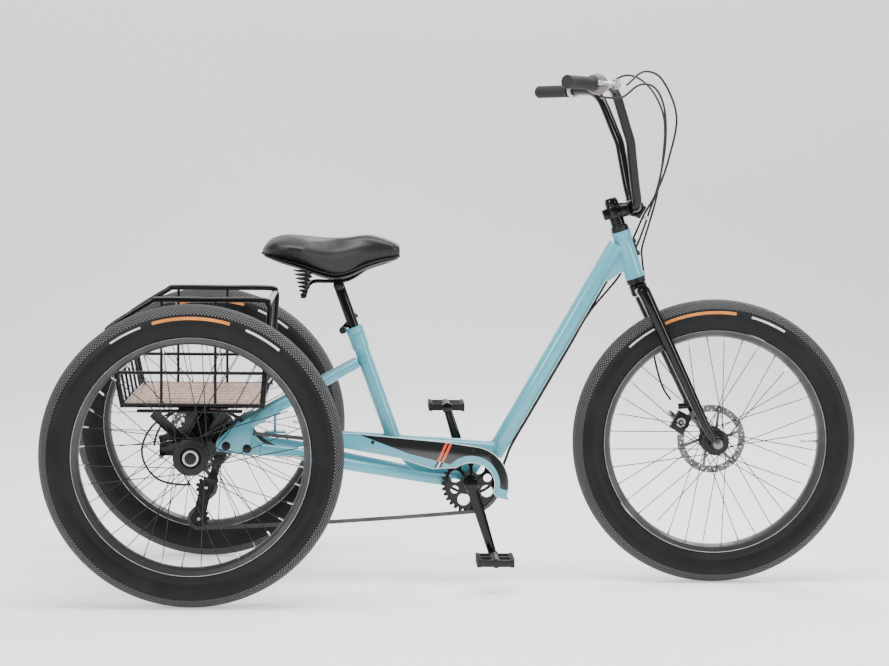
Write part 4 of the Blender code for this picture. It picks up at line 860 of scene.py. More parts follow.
    def spokes(self, finishes: Finishes) -> None:
        """Lace the crossed spokes and their nipples."""
        wires, nipples = Form(), Form()
        for index in range(self.spoke_count):
            rim_angle = 2.0 * math.pi * (index + 0.5) / self.spoke_count
            side = -1.0 if index % 2 else 1.0
            outward = (index // 2) % 2 == 1
            lead = self.cross if outward else -self.cross
            layer = 0.0032 if outward else -0.0032
            inner = self.at(self.flange_radius, rim_angle + lead, side * (self.flange_y + layer))
            outer = self.at(0.2428, rim_angle, side * 0.0045)
            way = (outer - inner).normalized()
            wires.rod(inner, outer - way * 0.004, 0.00105, sides=6)
            head = Vector((0.0, side * layer, 0.0))
            wires.rod(inner + head * 0.3, inner - head * 1.6, 0.0016, sides=6)
            nipples.rod(outer, outer - way * 0.0125, 0.0021, 0.0016, sides=8)
        wires.piece(self.name + "_spokes", self.body, Slot.ANODISED, finishes.spoke)
        nipples.piece(self.name + "_nipples", self.body, Slot.STEEL, finishes.steel)

    def hub(self, finishes: Finishes) -> None:
        """Turn the hub's shell with its two spoke flanges."""
        flange = self.flange_radius + 0.0042
        edge_y, inner_y = self.flange_y + 0.0032, self.flange_y - 0.0030
        waist = 0.0145 if self.name == "front" else 0.0195
        bore = 0.0056 if self.name == "front" else 0.0090
        half = [(bore, self.hub_half), (waist - 0.003, self.hub_half),
                (waist + 0.001, self.hub_half - 0.004), (waist + 0.003, edge_y + 0.0012),
                (flange - 0.002, edge_y), (flange, edge_y - 0.0014), (flange, inner_y + 0.0014),
                (flange - 0.002, inner_y), (waist + 0.004, inner_y - 0.002), (waist, inner_y - 0.009)]
        outline = half + [(r, -y) for r, y in reversed(half)]
        shell = Form().lathe(outline, self.centre, steps=72)
        shell.piece(self.name + "_hub_shell", self.body, Slot.ANODISED, finishes.anodised,
                    [self.name + "_hub"])


@dataclass(frozen=True)
class AxleEnds:
    """The live rear axle with its end discs, and both ends of the front axle."""

    end: float = 0.3970

    def build(self, finishes: Finishes) -> None:
        """Make the axles, their nuts and washers, and the rear wheels' silver rings."""
        axle = Form().across(REAR_AXLE, -self.end + 0.004, self.end - 0.004, 0.0085, edge=0.0008)
        for side in (-1.0, 1.0):
            axle.flank(REAR_AXLE, side, 0.3886, 0.3904, 0.0120, sides=40, edge=0.0003)
        axle.piece("rear_axle_bar", "left_wheel", Slot.ANODISED, finishes.anodised, ["rear_axle"])
        for side, body in ((-1.0, "right_wheel"), (1.0, "left_wheel")):
            low, high = sorted((side * 0.3886, side * 0.3906))
            ring = Form().lathe(sleeve(0.0128, 0.0174, low, high), REAR_AXLE, steps=56,
                                edge=0.0004)
            ring.flank(REAR_AXLE, side, 0.3904, self.end - 0.0045, 0.0072, sides=6, edge=0.0008)
            ring.piece(f"{body}_nut", "left_wheel", Slot.STEEL, finishes.alloy)
        front = Form().across(FRONT_AXLE, -0.0755, 0.0755, 0.0050, edge=0.0005)
        for side in (-1.0, 1.0):
            front.flank(FRONT_AXLE, side, 0.0662, 0.0735, 0.0092, sides=6, edge=0.0009)
            front.flank(FRONT_AXLE, side, 0.0658, 0.0672, 0.0118, sides=32, edge=0.0003)
        front.piece("front_axle_bar", "steering", Slot.STEEL, finishes.disc, ["front_axle"])


@dataclass(frozen=True)
class Rotor:
    """A drilled brake rotor on six swept arms."""

    name: str
    node: str
    body: str
    axle: Vector

    def build(self, finishes: Finishes) -> None:
        """Make the braking band, drill it, and add its arms and carrier."""
        centre = self.axle + Vector((0.0, ROTOR_Y, 0.0))
        band = Form().lathe(sleeve(0.0640, 0.0800, -0.0009, 0.0009), centre, steps=96)
        holes = Form()
        for index in range(48):
            angle = 2.0 * math.pi * index / 48
            radius = (0.0680, 0.0722, 0.0764)[index % 3]
            middle = self.axle + Vector((radius * math.cos(angle), 0.0, radius * math.sin(angle)))
            holes.across(middle, ROTOR_Y - 0.004, ROTOR_Y + 0.004, 0.0017, sides=8)
        band.piece(self.name + "_band", self.body, Slot.STEEL, finishes.disc, [self.node], holes)
        carrier = Form().lathe(sleeve(0.0162, 0.0235, -0.0010, 0.0010), centre,
                               steps=48)
        for index in range(6):
            angle = math.radians(60.0 * index)
            path = []
            for radius, lag in ((0.0220, 0.0), (0.0380, 0.16), (0.0540, 0.24), (0.0652, 0.26)):
                path.append(centre + Vector((radius * math.cos(angle + lag), 0.0,
                                             radius * math.sin(angle + lag))))
            carrier.sweep(smooth_path(path, 4), [(0.0009, 0.0034)] * 13, 8)
        carrier.piece(self.name + "_carrier", self.body, Slot.STEEL, finishes.disc)


# --- Frame ---

@dataclass(frozen=True)
class MainFrame:
    """The welded step-through frame: head, down, main and seat tubes, and the rear stays."""

    down_radius: float = 0.0200
    main_radius: float = 0.0190
    seat_radius: float = 0.0170
    head_radius: float = 0.0213
    plate_y: float = 0.0720
    stay_route: tuple = ((-0.018, 0.0300, 0.2385), (-0.060, 0.0345, 0.2430), (-0.137, 0.0440, 0.2560),
                         (-0.265, 0.0620, 0.2790), (-0.366, 0.0680, 0.3020), (-0.455, 0.0720, 0.3130))
    seat_stay: tuple = ((-0.236, 0.0180, 0.5080), (-0.500, 0.0720, 0.3600))

    def build(self, finishes: Finishes) -> None:
        """Make the front triangle, the stays and their weld beads."""
        self.front(finishes)
        self.stays(finishes)
        self.welds(finishes)

    def front(self, finishes: Finishes) -> None:
        """Join the four main tubes, their gussets and the bottom bracket's shell."""
        form = Form()
        low, high = -0.0555, 0.0575
        collar = self.head_radius + 0.0014
        form.lathe([(0.0162, low), (collar, low), (collar, low + 0.010), (self.head_radius, low + 0.013),
                    (self.head_radius, high - 0.013), (collar, high - 0.010), (collar, high),
                    (0.0162, high)],
                   HEAD_POINT, HEAD_UP, 56, edge=0.0007)
        way = (DOWN_TOP - DOWN_LOW).normalized()
        form.rod(DOWN_LOW - way * 0.006, DOWN_TOP, self.down_radius, sides=48, edge=0.002)
        form.rod(MAIN_REAR, MAIN_FRONT, self.main_radius, sides=48, edge=0.003)
        form.rod(SEAT_LOW, SEAT_TOP - SEAT_UP * 0.034, self.seat_radius, sides=48)
        form.lathe([(0.0134, -0.1600), (0.0160, -0.1600), (0.0160, -0.0380), (0.0195, -0.0340),
                    (0.0195, -0.0006), (0.0134, -0.0006)], SEAT_TOP, SEAT_UP, 48, edge=0.0006)
        form.plate([(0.350, 0.780), (0.312, 0.694), (0.330, 0.697), (0.346, 0.703), (0.370, 0.7195),
                    (0.396, 0.724), (0.378, 0.790)], -0.0125, 0.0125, 0.0055)
        form.plate([(-0.138, 0.320), (-0.137, 0.289), (-0.118, 0.268), (-0.097, 0.2548), (-0.062, 0.247),
                    (-0.030, 0.2435), (0.004, 0.236), (0.020, 0.234), (0.038, 0.245), (0.070, 0.300)],
                   -0.0158, 0.0158, 0.0035)
        form.lathe(sleeve(0.0130, 0.0205, -0.0365, 0.0365), BRACKET, steps=56,
                   edge=0.0012)
        form.piece("frame_tubes", "frame", Slot.PAINT, finishes.teal, ["main_frame"])

    def stays(self, finishes: Finishes) -> None:
        """Make one side's stays and plate, reflect them and bridge them."""
        form = Form()
        route = smooth_path(self.stay_route, 5)
        form.sweep(route, [(0.0088, 0.0128)] * len(route), 28)
        form.rod(*self.seat_stay, 0.0118, sides=32, edge=0.003)
        y = self.plate_y
        outline = smooth_outline([(-0.560, 0.330), (-0.545, 0.309), (-0.500, 0.303), (-0.430, 0.296),
                                  (-0.430, 0.321), (-0.478, 0.337), (-0.470, 0.362), (-0.500, 0.374)])
        form.plate(outline, y - 0.0036, y + 0.0036, 0.0010)
        form.mirror()
        form.rod((-0.4200, -y, 0.4000), (-0.4200, y, 0.4000), 0.0080, sides=24)
        form.block((-0.4250, 0.0, 0.3450), (0.0500, 0.0400, 0.0040))
        form.block((-0.4250, 0.0, 0.3720), (0.0060, 0.0300, 0.0560))
        form.piece("frame_stays", "frame", Slot.PAINT, finishes.teal, ["rear_stays"])

    def welds(self, finishes: Finishes) -> None:
        """Lay the rippled beads where the tubes meet."""
        form = Form()
        down = (DOWN_TOP - DOWN_LOW).normalized()
        main = (MAIN_FRONT - MAIN_REAR).normalized()
        form.weld(DOWN_TOP - down * 0.14, down, self.down_radius, HEAD_POINT, HEAD_UP, self.head_radius)
        form.weld(DOWN_LOW + down * 0.14, -down, self.down_radius, MAIN_FRONT, main, self.main_radius)
        form.weld(SEAT_TOP, -SEAT_UP, self.seat_radius, MAIN_REAR, main, self.main_radius)
        for side in (-1.0, 1.0):
            top = Vector((self.seat_stay[0][0], side * self.seat_stay[0][1], self.seat_stay[0][2]))
            foot = Vector((self.seat_stay[1][0], side * self.seat_stay[1][1], self.seat_stay[1][2]))
            form.weld(foot, top - foot, 0.0118, SEAT_TOP, SEAT_UP, self.seat_radius + 0.0010, 0.0015)
            form.ring((-0.4200, side * (self.plate_y - 0.0040), 0.4000), (0.0, 1.0, 0.0), 0.0084, 0.0014,
                      32)
        form.piece("frame_welds", "frame", Slot.PAINT, finishes.teal)


def smooth_outline(points: Sequence[Sequence[float]], cut: float = 0.22) -> list[tuple[float, float]]:
    """An outline whose corners are cut back twice, so that they read as round."""
    for _ in range(2):
        cornered = []
        for index, (x, z) in enumerate(points):
            after = points[(index + 1) % len(points)]
            cornered.append((x + (after[0] - x) * cut, z + (after[1] - z) * cut))
            cornered.append((x + (after[0] - x) * (1.0 - cut), z + (after[1] - z) * (1.0 - cut)))
        points = cornered
    return points


@dataclass(frozen=True)
class ChainGuard:
    """The printed sheet-metal guard over the chain's upper run."""

    face_y: float = -0.0610
    half: float = 0.0009

    def outline(self) -> list[tuple[float, float]]:
        """A long tapered tail and a hook around the front of the chainring."""
        outer = [(-0.330, 0.3470), (-0.325, 0.3485), (-0.245, 0.3490), (-0.034, 0.3300)]
        inner = [(-0.063, 0.2690), (-0.139, 0.2930), (-0.325, 0.3250), (-0.330, 0.3265)]
        hook_outer = [(BRACKET.x + 0.0860 * math.cos(a), BRACKET.z + 0.0870 * math.sin(a))
                      for a in (math.radians(82.0 - step * 100.0 / 20.0) for step in range(21))]
        hook_inner = [(BRACKET.x + 0.0540 * math.cos(a), BRACKET.z + 0.0500 * math.sin(a))
                      for a in (math.radians(-22.0 + step * 152.0 / 24.0) for step in range(25))]
        return outer + hook_outer + [(0.115, 0.1970), (0.087, 0.2030)] + hook_inner + inner

    def build(self, finishes: Finishes) -> None:
        """Cut the sheet, then add its rolled pale edge and its brackets."""
        outline = self.outline()
        Form().plate(outline, self.face_y - self.half, self.face_y + self.half, 0.0004).piece(
            "guard_sheet", "frame", Slot.PAINT, finishes.guard, ["chain_guard"])
        rolled = [Vector((x, self.face_y - self.half, z)) for x, z in outline]
        Form().sweep(rolled, 0.0008, 8, closed=True).piece("guard_edge", "frame", Slot.PAINT,
                                                           finishes.guard_edge)
        form = Form()
        for x, z in ((-0.200, 0.3330), (0.030, 0.3155)):
            form.block((x, -0.0400, z), (0.016, 0.0410, 0.0030), edge=0.0006)
            form.rod((x, self.face_y - 0.0030, z - 0.004), (x, self.face_y + 0.004, z - 0.004), 0.0042,
                     sides=18, edge=0.0008)
        form.piece("guard_brackets", "frame", Slot.ANODISED, finishes.anodised)


@dataclass(frozen=True)
class Basket:
    """The wire cargo basket and its slotted board."""

    half: float = 0.2600
    top: float = 0.6640
    middle: float = 0.5030
    base: float = 0.4310
    rail: float = 0.0064
    wire: float = 0.0033

    def side(self, way: float) -> Form:
        """One wire side, all in one plane."""
        y = way * self.half
        rail = [(-0.4457, y, self.base - 0.0045), (-0.4375, y, 0.540), (-0.4310, y, 0.636),
                (-0.4335, y, 0.6540), (-0.4460, y, self.top), (-0.560, y, self.top), (-0.672, y, self.top),
                (-0.696, y, 0.6560), (-0.776, y, 0.6050), (-0.7835, y, 0.5850), (-0.770, y, 0.520),
                (-0.7507, y, self.base - 0.0045)]
        form = Form().tube(rail, self.rail, 18, 5)
        form.rod((-0.4445, y, self.base), (-0.7525, y, self.base), 0.0052, sides=16)
        form.rod((-0.4430, y, self.middle), (-0.7640, y, self.middle), self.wire + 0.0005, sides=14)
        for x in (-0.6670, -0.5490):
            form.rod((x, y, self.base), (x, y, self.top), self.wire, sides=14)
        return form

    def end(self, top: Vector, base: Vector, bars: int) -> Form:
        """The front or rear wires, between the sides."""
        reach = self.half - self.rail - 0.0002
        level = base.lerp(top, (self.middle - base.z) / (top.z - base.z))
        form = Form()
        for place, radius in ((top, self.rail), (level, self.wire + 0.0005), (base, 0.0052)):
            form.rod((place.x, -reach, place.z), (place.x, reach, place.z), radius, sides=18)
        for index in range(bars):
            y = (index - (bars - 1) / 2.0) * 0.4300 / bars
            form.rod((base.x, y, base.z), (top.x, y, top.z), self.wire * 0.92, sides=12)
        return form

    def build(self, finishes: Finishes) -> None:
        """Make the four wire panels and the board."""
        black = (Slot.BLACK, finishes.black)
        self.side(-1.0).piece("basket_right_wires", "frame", *black, ["basket_right_side"])
        self.side(1.0).piece("basket_left_wires", "frame", *black, ["basket_left_side"])
        front = (Vector((-0.4350, 0.0, 0.6550)), Vector((-0.446, 0.0, self.base)))
        rear = (Vector((-0.7800, 0.0, 0.5900)), Vector((-0.751, 0.0, self.base)))
        self.end(*front, 5).piece("basket_front_wires", "frame", *black, ["basket_front"])
        self.end(*rear, 5).piece("basket_rear_wires", "frame", *black, ["basket_rear"])
        slots = Form()
        for index in range(8):
            slots.block((-0.5985, (index - 3.5) * 0.0620, self.base), (0.2100, 0.0140, 0.0300), edge=0.004)
        Form().block((-0.5985, 0.0, self.base), (0.2860, 0.4960, 0.0090), edge=0.0012).piece(
            "basket_board", "frame", Slot.WOOD, finishes.board, ["basket_floor"], slots)


# --- Drive ---

def pitch_radius(teeth: int) -> float:
    """Radius of the circle that a sprocket's chain pins run on."""
    return CHAIN_PITCH / (2.0 * math.sin(math.pi / teeth))


def sprocket_outline(centre: Vector, teeth: int, tip: float = 0.0040,
                     root: float = 0.0038) -> list[tuple[float, float]]:
    """A sprocket's outline, with one rounded gap under each roller."""
    radius = pitch_radius(teeth)
    outline = []
    for index in range(teeth):
        for offset, reach in ((0.0, tip), (0.14, tip - 0.0006), (0.30, 0.0), (0.42, -root), (0.58, -root),
                              (0.70, 0.0), (0.86, tip - 0.0006)):
            angle = 2.0 * math.pi * (index + offset) / teeth
            outline.append((centre.x + (radius + reach) * math.cos(angle),
                            centre.z + (radius + reach) * math.sin(angle)))
    return outline


@dataclass(frozen=True)
class Chain:
    """The roller chain on its whole route."""

    sag: float = 0.0040

    def run(self, start: tuple, end: tuple) -> tuple[Vector, Vector]:
        """Where the chain leaves one sprocket and meets the next; each is (x, z, radius, turn)."""
        gap = Vector((end[0] - start[0], end[1] - start[1]))
        angle = math.atan2(gap.y, gap.x) + math.asin((end[3] * end[2] - start[3] * start[2]) / gap.length)
        right = Vector((math.sin(angle), -math.cos(angle)))
        return (Vector(start[:2]) - right * start[3] * start[2], Vector(end[:2]) - right * end[3] * end[2])

    def route(self) -> list[Vector]:
        """The chain's middle line as close-set (x, z) points."""
        order = [(BRACKET.x, BRACKET.z, pitch_radius(RING_TEETH), 1.0),
                 (TENSION_PULLEY.x, TENSION_PULLEY.z, pitch_radius(PULLEY_TEETH), 1.0),
                 (GUIDE_PULLEY.x, GUIDE_PULLEY.z, pitch_radius(PULLEY_TEETH), -1.0),
                 (REAR_AXLE.x, REAR_AXLE.z, pitch_radius(COG_TEETH[0]), 1.0)]
        runs = [self.run(order[i], order[(i + 1) % 4]) for i in range(4)]
        points = []
        for index, wheel in enumerate(order):
            middle, arrive, leave = Vector(wheel[:2]), runs[index - 1][1], runs[index][0]
            first = math.atan2(arrive.y - middle.y, arrive.x - middle.x)
            last = math.atan2(leave.y - middle.y, leave.x - middle.x)
            sweep = (last - first) * -wheel[3] % (2.0 * math.pi)
            for step in range(40):
                angle = first - wheel[3] * sweep * step / 40
                points.append(middle + Vector((math.cos(angle), math.sin(angle))) * wheel[2])
            for step in range(40):
                t = step / 40
                place = runs[index][0].lerp(runs[index][1], t)
                points.append(place - Vector((0.0, self.sag * 4.0 * t * (1.0 - t) if index == 0 else 0.0)))
        return points

    def pins(self) -> list[Vector]:
        """The pins, one even pitch apart round the route."""
        points = self.route()
        loop = points + [points[0]]
        total = sum((b - a).length for a, b in zip(loop, loop[1:]))
        count = 2 * round(total / CHAIN_PITCH / 2.0)
        pitch = total / count
        pins, walked = [], 0.0
        for a, b in zip(loop, loop[1:]):
            length = (b - a).length
            while len(pins) < count and len(pins) * pitch <= walked + length:
                pins.append(a.lerp(b, (len(pins) * pitch - walked) / length))
            walked += length
        return pins

    def build(self, finishes: Finishes) -> None:
        """Make the plates, alternately inside and outside, and the rollers."""
        form = Form()
        pins = self.pins()
        for index, pin in enumerate(pins):
            after = pins[(index + 1) % len(pins)]
            angle = math.atan2(after.y - pin.y, after.x - pin.x)
            outline = []
            for middle, start in ((after, -75.0), (pin, 105.0)):
                for step in range(5):
                    turn = angle + math.radians(start + step * 37.5)
                    outline.append((middle.x + 0.0042 * math.cos(turn), middle.y + 0.0042 * math.sin(turn)))
            inside = 0.0020 if index % 2 else 0.0031
            for side in (-1.0, 1.0):
                low, high = sorted((CHAIN_Y + side * inside, CHAIN_Y + side * (inside + 0.0009)))
                form.plate(outline, low, high, 0.0)
            form.across((pin.x, 0.0, pin.y), CHAIN_Y - 0.0019, CHAIN_Y + 0.0019, 0.0038, sides=10)
            form.across((pin.x, 0.0, pin.y), CHAIN_Y - 0.0046, CHAIN_Y + 0.0046, 0.0017, sides=8)
        form.piece("roller_chain", "frame", Slot.STEEL, finishes.chain, ["chain"])


@dataclass(frozen=True)
class Crankset:
    """The chainring, crank arms, spindle and pedals."""

    length: float = 0.1700
    angle: float = math.radians(-72.4)
    arm_y: float = 0.0760
    pedal_y: float = 0.1420

    def build(self, finishes: Finishes) -> None:
        """Make everything that turns at the bottom bracket, and the pedals."""
        self.ring(finishes)
        spindle = Form().across(BRACKET, -0.0740, 0.0740, 0.0085, edge=0.0006)
        spindle.across(BRACKET, -0.0350, 0.0350, 0.0122, edge=0.0006)
        spindle.piece("spindle_bar", "crank", Slot.STEEL, finishes.steel, ["crank_spindle"])
        for name, side in (("right", -1.0), ("left", 1.0)):
            self.arm(name, side, finishes)

    def ring(self, finishes: Finishes) -> None:
        """Cut the toothed ring, then lay the drilled black face on it."""
        teeth = Form().plate(sprocket_outline(BRACKET, RING_TEETH), CHAIN_Y - 0.0010, CHAIN_Y + 0.0010, 0.0)
        bore = Form().across(BRACKET, -0.07, -0.03, 0.0540, sides=72)
        teeth.piece("chainring_teeth", "crank", Slot.ANODISED, finishes.anodised, ["chainring"], bore)
        profile = [(0.0088, -0.0018), (0.0585, -0.0018), (0.0600, -0.0008), (0.0600, 0.0008),
                   (0.0585, 0.0018), (0.0088, 0.0018)]
        face = Form().lathe(profile, BRACKET + Vector((0.0, CHAIN_Y, 0.0)), steps=96)
        holes = Form()
        for index in range(8):
            turn = math.radians(45.0 * index + 20.0)
            middle = BRACKET + Vector((0.0400 * math.cos(turn), 0.0, 0.0400 * math.sin(turn)))
            holes.across(middle, -0.07, -0.03, 0.0140 if index % 2 else 0.0092, sides=32)
        face.piece("chainring_face", "crank", Slot.ANODISED, finishes.black, (), holes)

    def arm(self, name: str, side: float, finishes: Finishes) -> None:
        """Forge one tapering arm with its boss, eye, dust cap and pedal axle."""
        angle = self.angle if side < 0.0 else self.angle + math.pi
        way = Vector((math.cos(angle), 0.0, math.sin(angle)))
        start = Vector((BRACKET.x, side * self.arm_y, BRACKET.z))
        end = start + way * self.length
        path = [start.lerp(end, step / 8.0) for step in range(9)]
        sizes = [(0.0064 - 0.0010 * step / 8.0, 0.0140 - 0.0048 * step / 8.0) for step in range(9)]
        form = Form().sweep(path, sizes, 24)
        form.flank(start, side, 0.0545, 0.0830, 0.0165, edge=0.0020)
        form.flank(end, side, 0.0692, 0.0828, 0.0128, edge=0.0018)
        form.flank(start, side, 0.0826, 0.0842, 0.0105, edge=0.0006)
        form.piece(name + "_crank_arm", "crank", Slot.ANODISED, finishes.black, [name + "_crank"])
        metal = Form()
        metal.flank(end, side, 0.0820, 0.1870, 0.0045, edge=0.0005)
        metal.flank(end, side, 0.0826, 0.0905, 0.0076, sides=6, edge=0.0007)
        metal.piece(name + "_pedal_axle", "crank", Slot.STEEL, finishes.steel)
        self.pedal(name, side, end, finishes)

    def pedal(self, name: str, side: float, end: Vector, finishes: Finishes) -> None:
        """Mould one platform pedal: a barrel, a cage of ribs and its grip studs."""
        inner, outer = side * (self.arm_y + 0.0155), side * (self.pedal_y + 0.0495)
        middle, width = (inner + outer) * 0.5, abs(outer - inner)
        low, high = sorted((inner, outer))
        form = Form().across(end, low, high, 0.0105, edge=0.0015)
        for x in (-0.0370, 0.0370):
            form.block((end.x + x, middle, end.z), (0.0080, width, 0.0180), edge=0.0016)
            for index in range(9):
                y = middle + (index - 4) * width / 9.6
                form.block((end.x + x * 1.03, y, end.z), (0.0080, 0.0040, 0.0205), edge=0.0008)
        for y in (inner + side * 0.0040, middle, outer - side * 0.0040):
            form.block((end.x, y, end.z), (0.0780, 0.0075, 0.0160), edge=0.0015)
        form.piece(name + "_pedal_body", name + "_pedal", Slot.PLASTIC, finishes.plastic, [name + "_pedal"])


@dataclass(frozen=True)
class RearGears:
    """The seven-cog freewheel, the changer and its two pulleys."""

    def build(self, finishes: Finishes) -> None:
        """Make the cogs, the pulleys and the changer."""
        cogs = Form()
        for index, teeth in enumerate(COG_TEETH):
            y = CHAIN_Y + index * COG_STEP
            cogs.plate(sprocket_outline(REAR_AXLE, teeth, 0.0034), y - 0.0009, y + 0.0009, 0.0)
        cogs.across(REAR_AXLE, CHAIN_Y - 0.0008, CHAIN_Y + 0.0330, 0.0200, edge=0.001)
        bore = Form().across(REAR_AXLE, -0.07, 0.0, 0.0092)
        cogs.piece("freewheel_cogs", "freewheel", Slot.STEEL, finishes.chain, ["freewheel"], bore)
        for name, centre in (("guide_pulley", GUIDE_PULLEY), ("tension_pulley", TENSION_PULLEY)):
            wheel = Form().plate(sprocket_outline(centre, PULLEY_TEETH, 0.0026), CHAIN_Y - 0.0011,
                                 CHAIN_Y + 0.0011, 0.0)
            bore = Form().across(centre, -0.07, -0.03, 0.0046)
            wheel.piece(name + "_wheel", name, Slot.PLASTIC, finishes.plastic, [name], bore)
        refine("derailleur_body", "frame", Slot.ANODISED, finishes.anodised, 0.0012)
        self.cage(finishes)

    def cage(self, finishes: Finishes) -> None:
        """Cut the changer's two cage plates, with their screws and the barrel above them."""
        form, screws = Form(), Form()
        for y in (CHAIN_Y - 0.0070, CHAIN_Y + 0.0070):
            outline = []
            for centre, start in ((GUIDE_PULLEY, -15.0), (TENSION_PULLEY, 165.0)):
                for step in range(13):
                    turn = math.radians(start + step * 15.0)
                    outline.append((centre.x + 0.0130 * math.cos(turn), centre.z + 0.0130 * math.sin(turn)))
            form.plate(outline, y - 0.0009, y + 0.0009, 0.0003)
            for centre in (GUIDE_PULLEY, TENSION_PULLEY):
                screws.across(centre, y - 0.0018, y + 0.0018, 0.0042, sides=18, edge=0.0005)
        for centre in (GUIDE_PULLEY, TENSION_PULLEY):
            screws.across(centre, CHAIN_Y - 0.0070, CHAIN_Y + 0.0070, 0.0038, sides=18)
        form.piece("changer_cage", "frame", Slot.ANODISED, finishes.anodised, ["derailleur_cage"])
        screws.piece("changer_screws", "frame", Slot.STEEL, finishes.steel)


# --- Steering ---

@dataclass(frozen=True)
class Steering:
    """The headset, fork, stem, bar and grips."""

    leg_y: float = 0.0620
    bar_radius: float = 0.0111
    grip_length: float = 0.1250

    def build(self, finishes: Finishes) -> None:
        """Make everything that turns with the bar, and the headset's cups."""
        self.cups(finishes)
        self.fork(finishes)
        self.stem(finishes)
        self.bar(finishes)
        for side, name in ((-1.0, "right"), (1.0, "left")):
            self.grip(name, side, finishes)
            self.lever(name, side, finishes)
        self.shifter(finishes)

    def cups(self, finishes: Finishes) -> None:
        """Turn the two headset cups, with a groove for each seal."""
        upper = [(0.0152, 0.0578), (0.0205, 0.0578), (0.0208, 0.0630), (0.0200, 0.0640), (0.0203, 0.0650),
                 (0.0192, 0.0712), (0.0152, 0.0715)]
        lower = [(0.0152, -0.0685), (0.0212, -0.0685), (0.0222, -0.0640), (0.0214, -0.0630),
                 (0.0224, -0.0620), (0.0224, -0.0560), (0.0152, -0.0558)]
        for name, profile in (("upper", upper), ("lower", lower)):
            cup = Form().lathe(profile, HEAD_POINT, HEAD_UP, 56, edge=0.0003)
            cup.piece(f"headset_{name}_race", "frame", Slot.ANODISED, finishes.anodised,
                      [f"headset_{name}_cup"])

    def fork(self, finishes: Finishes) -> None:
        """Join the steerer, crown, tapering legs, dropouts and the caliper's mount."""
        form = Form().rod(head_at(-0.0800), head_at(0.1170), 0.0140, sides=36)
        form.lathe([(0.0, -0.0990), (0.0150, -0.0990), (0.0205, -0.0950), (0.0205, -0.0720),
                    (0.0180, -0.0692), (0.0, -0.0692)], HEAD_POINT, HEAD_UP, 48, closed=False)
        crown = [head_at(-0.0845, 0.0, y) for y in (-0.0705, -0.0690, -0.050, 0.0, 0.050, 0.0690, 0.0705)]
        form.sweep(crown, [(0.0100, 0.0100), (0.0128, 0.0135), (0.0132, 0.0142), (0.0150, 0.0160),
                           (0.0132, 0.0142), (0.0128, 0.0135), (0.0100, 0.0100)], 28)
        for side in (-1.0, 1.0):
            y = side * self.leg_y
            top, foot = head_at(-0.0780, 0.0020, y), Vector((0.5640, y, 0.3740))
            tip = FRONT_AXLE + Vector((-0.0080, y, 0.0080))
            path = [top, top.lerp(foot, 0.02)] + [top.lerp(foot, step / 6.0) for step in range(1, 6)]
            path += [foot, foot.lerp(tip, 0.55), tip]
            sizes = [(r, r) for r in (0.0120, 0.0150, 0.0148, 0.0142, 0.0134, 0.0125, 0.0116, 0.0104,
                                      0.0094, 0.0080)]
            form.sweep(path, sizes, 28)
            form.across(FRONT_AXLE, y - 0.0036, y + 0.0036, 0.0150, edge=0.0010)
        form.bar((0.5480, self.leg_y - 0.0030, 0.4060), (0.5180, self.leg_y - 0.0030, 0.4040), 0.0140,
                 0.0060, 0.0015)
        bore = Form().across(FRONT_AXLE, -0.08, 0.08, 0.0054)
        form.piece("fork_blades", "steering", Slot.BLACK, finishes.black, ["fork"], bore)

    def stem(self, finishes: Finishes) -> None:
        """Turn the spacers and cap, and shape the stem's neck and split face clamp."""
        form = Form()
        for low, high in ((0.0722, 0.0790), (0.0793, 0.0860), (0.0863, 0.0905)):
            form.lathe(sleeve(0.0143, 0.0165, low, high), HEAD_POINT, HEAD_UP, 40,
                       edge=0.0005)
        form.lathe(sleeve(0.0143, 0.0200, 0.0910, 0.1178), HEAD_POINT, HEAD_UP, 48,
                   edge=0.0018)
        form.lathe([(0.0, 0.1180), (0.0160, 0.1180), (0.0160, 0.1280), (0.0125, 0.1378), (0.0, 0.1378)],
                   HEAD_POINT, HEAD_UP, 48, closed=False, edge=0.0012)
        back = head_at(0.1045, 0.0120)
        ahead = BAR_CLAMP - back
        form.sweep([back, back.lerp(BAR_CLAMP, 0.5), BAR_CLAMP - ahead.normalized() * 0.010],
                   [(0.0185, 0.0185), (0.0165, 0.0165), (0.0190, 0.0190)], 28)
        form.block(head_at(0.1045, -0.0190), (0.0190, 0.0330, 0.0245), HEAD_TILT, 0.0025)
        form.lathe(sleeve(0.0116, 0.0205, -0.0240, 0.0240), BAR_CLAMP, steps=56,
                   edge=0.0016)
        form.block(BAR_CLAMP + Vector((0.0135, 0.0, -0.0085)), (0.0130, 0.0440, 0.0330),
                   math.radians(-30.0), 0.0030)
        bore = Form().across(BAR_CLAMP, -0.05, 0.05, self.bar_radius + 0.0004)
        form.piece("stem_body", "steering", Slot.ANODISED, finishes.black, ["stem"], bore)
        bolts = Form()
        for y in (-0.0150, 0.0150):
            for rise in (-0.0125, 0.0125):
                base = BAR_CLAMP + Vector((0.0180 - rise * 0.55, y, -0.0110 + rise * 0.85))
                way = Vector((0.866, 0.0, -0.500))
                bolts.rod(base, base + way * 0.0052, 0.0040, sides=20, edge=0.0006)
        bolts.piece("stem_bolts", "steering", Slot.STEEL, finishes.steel)

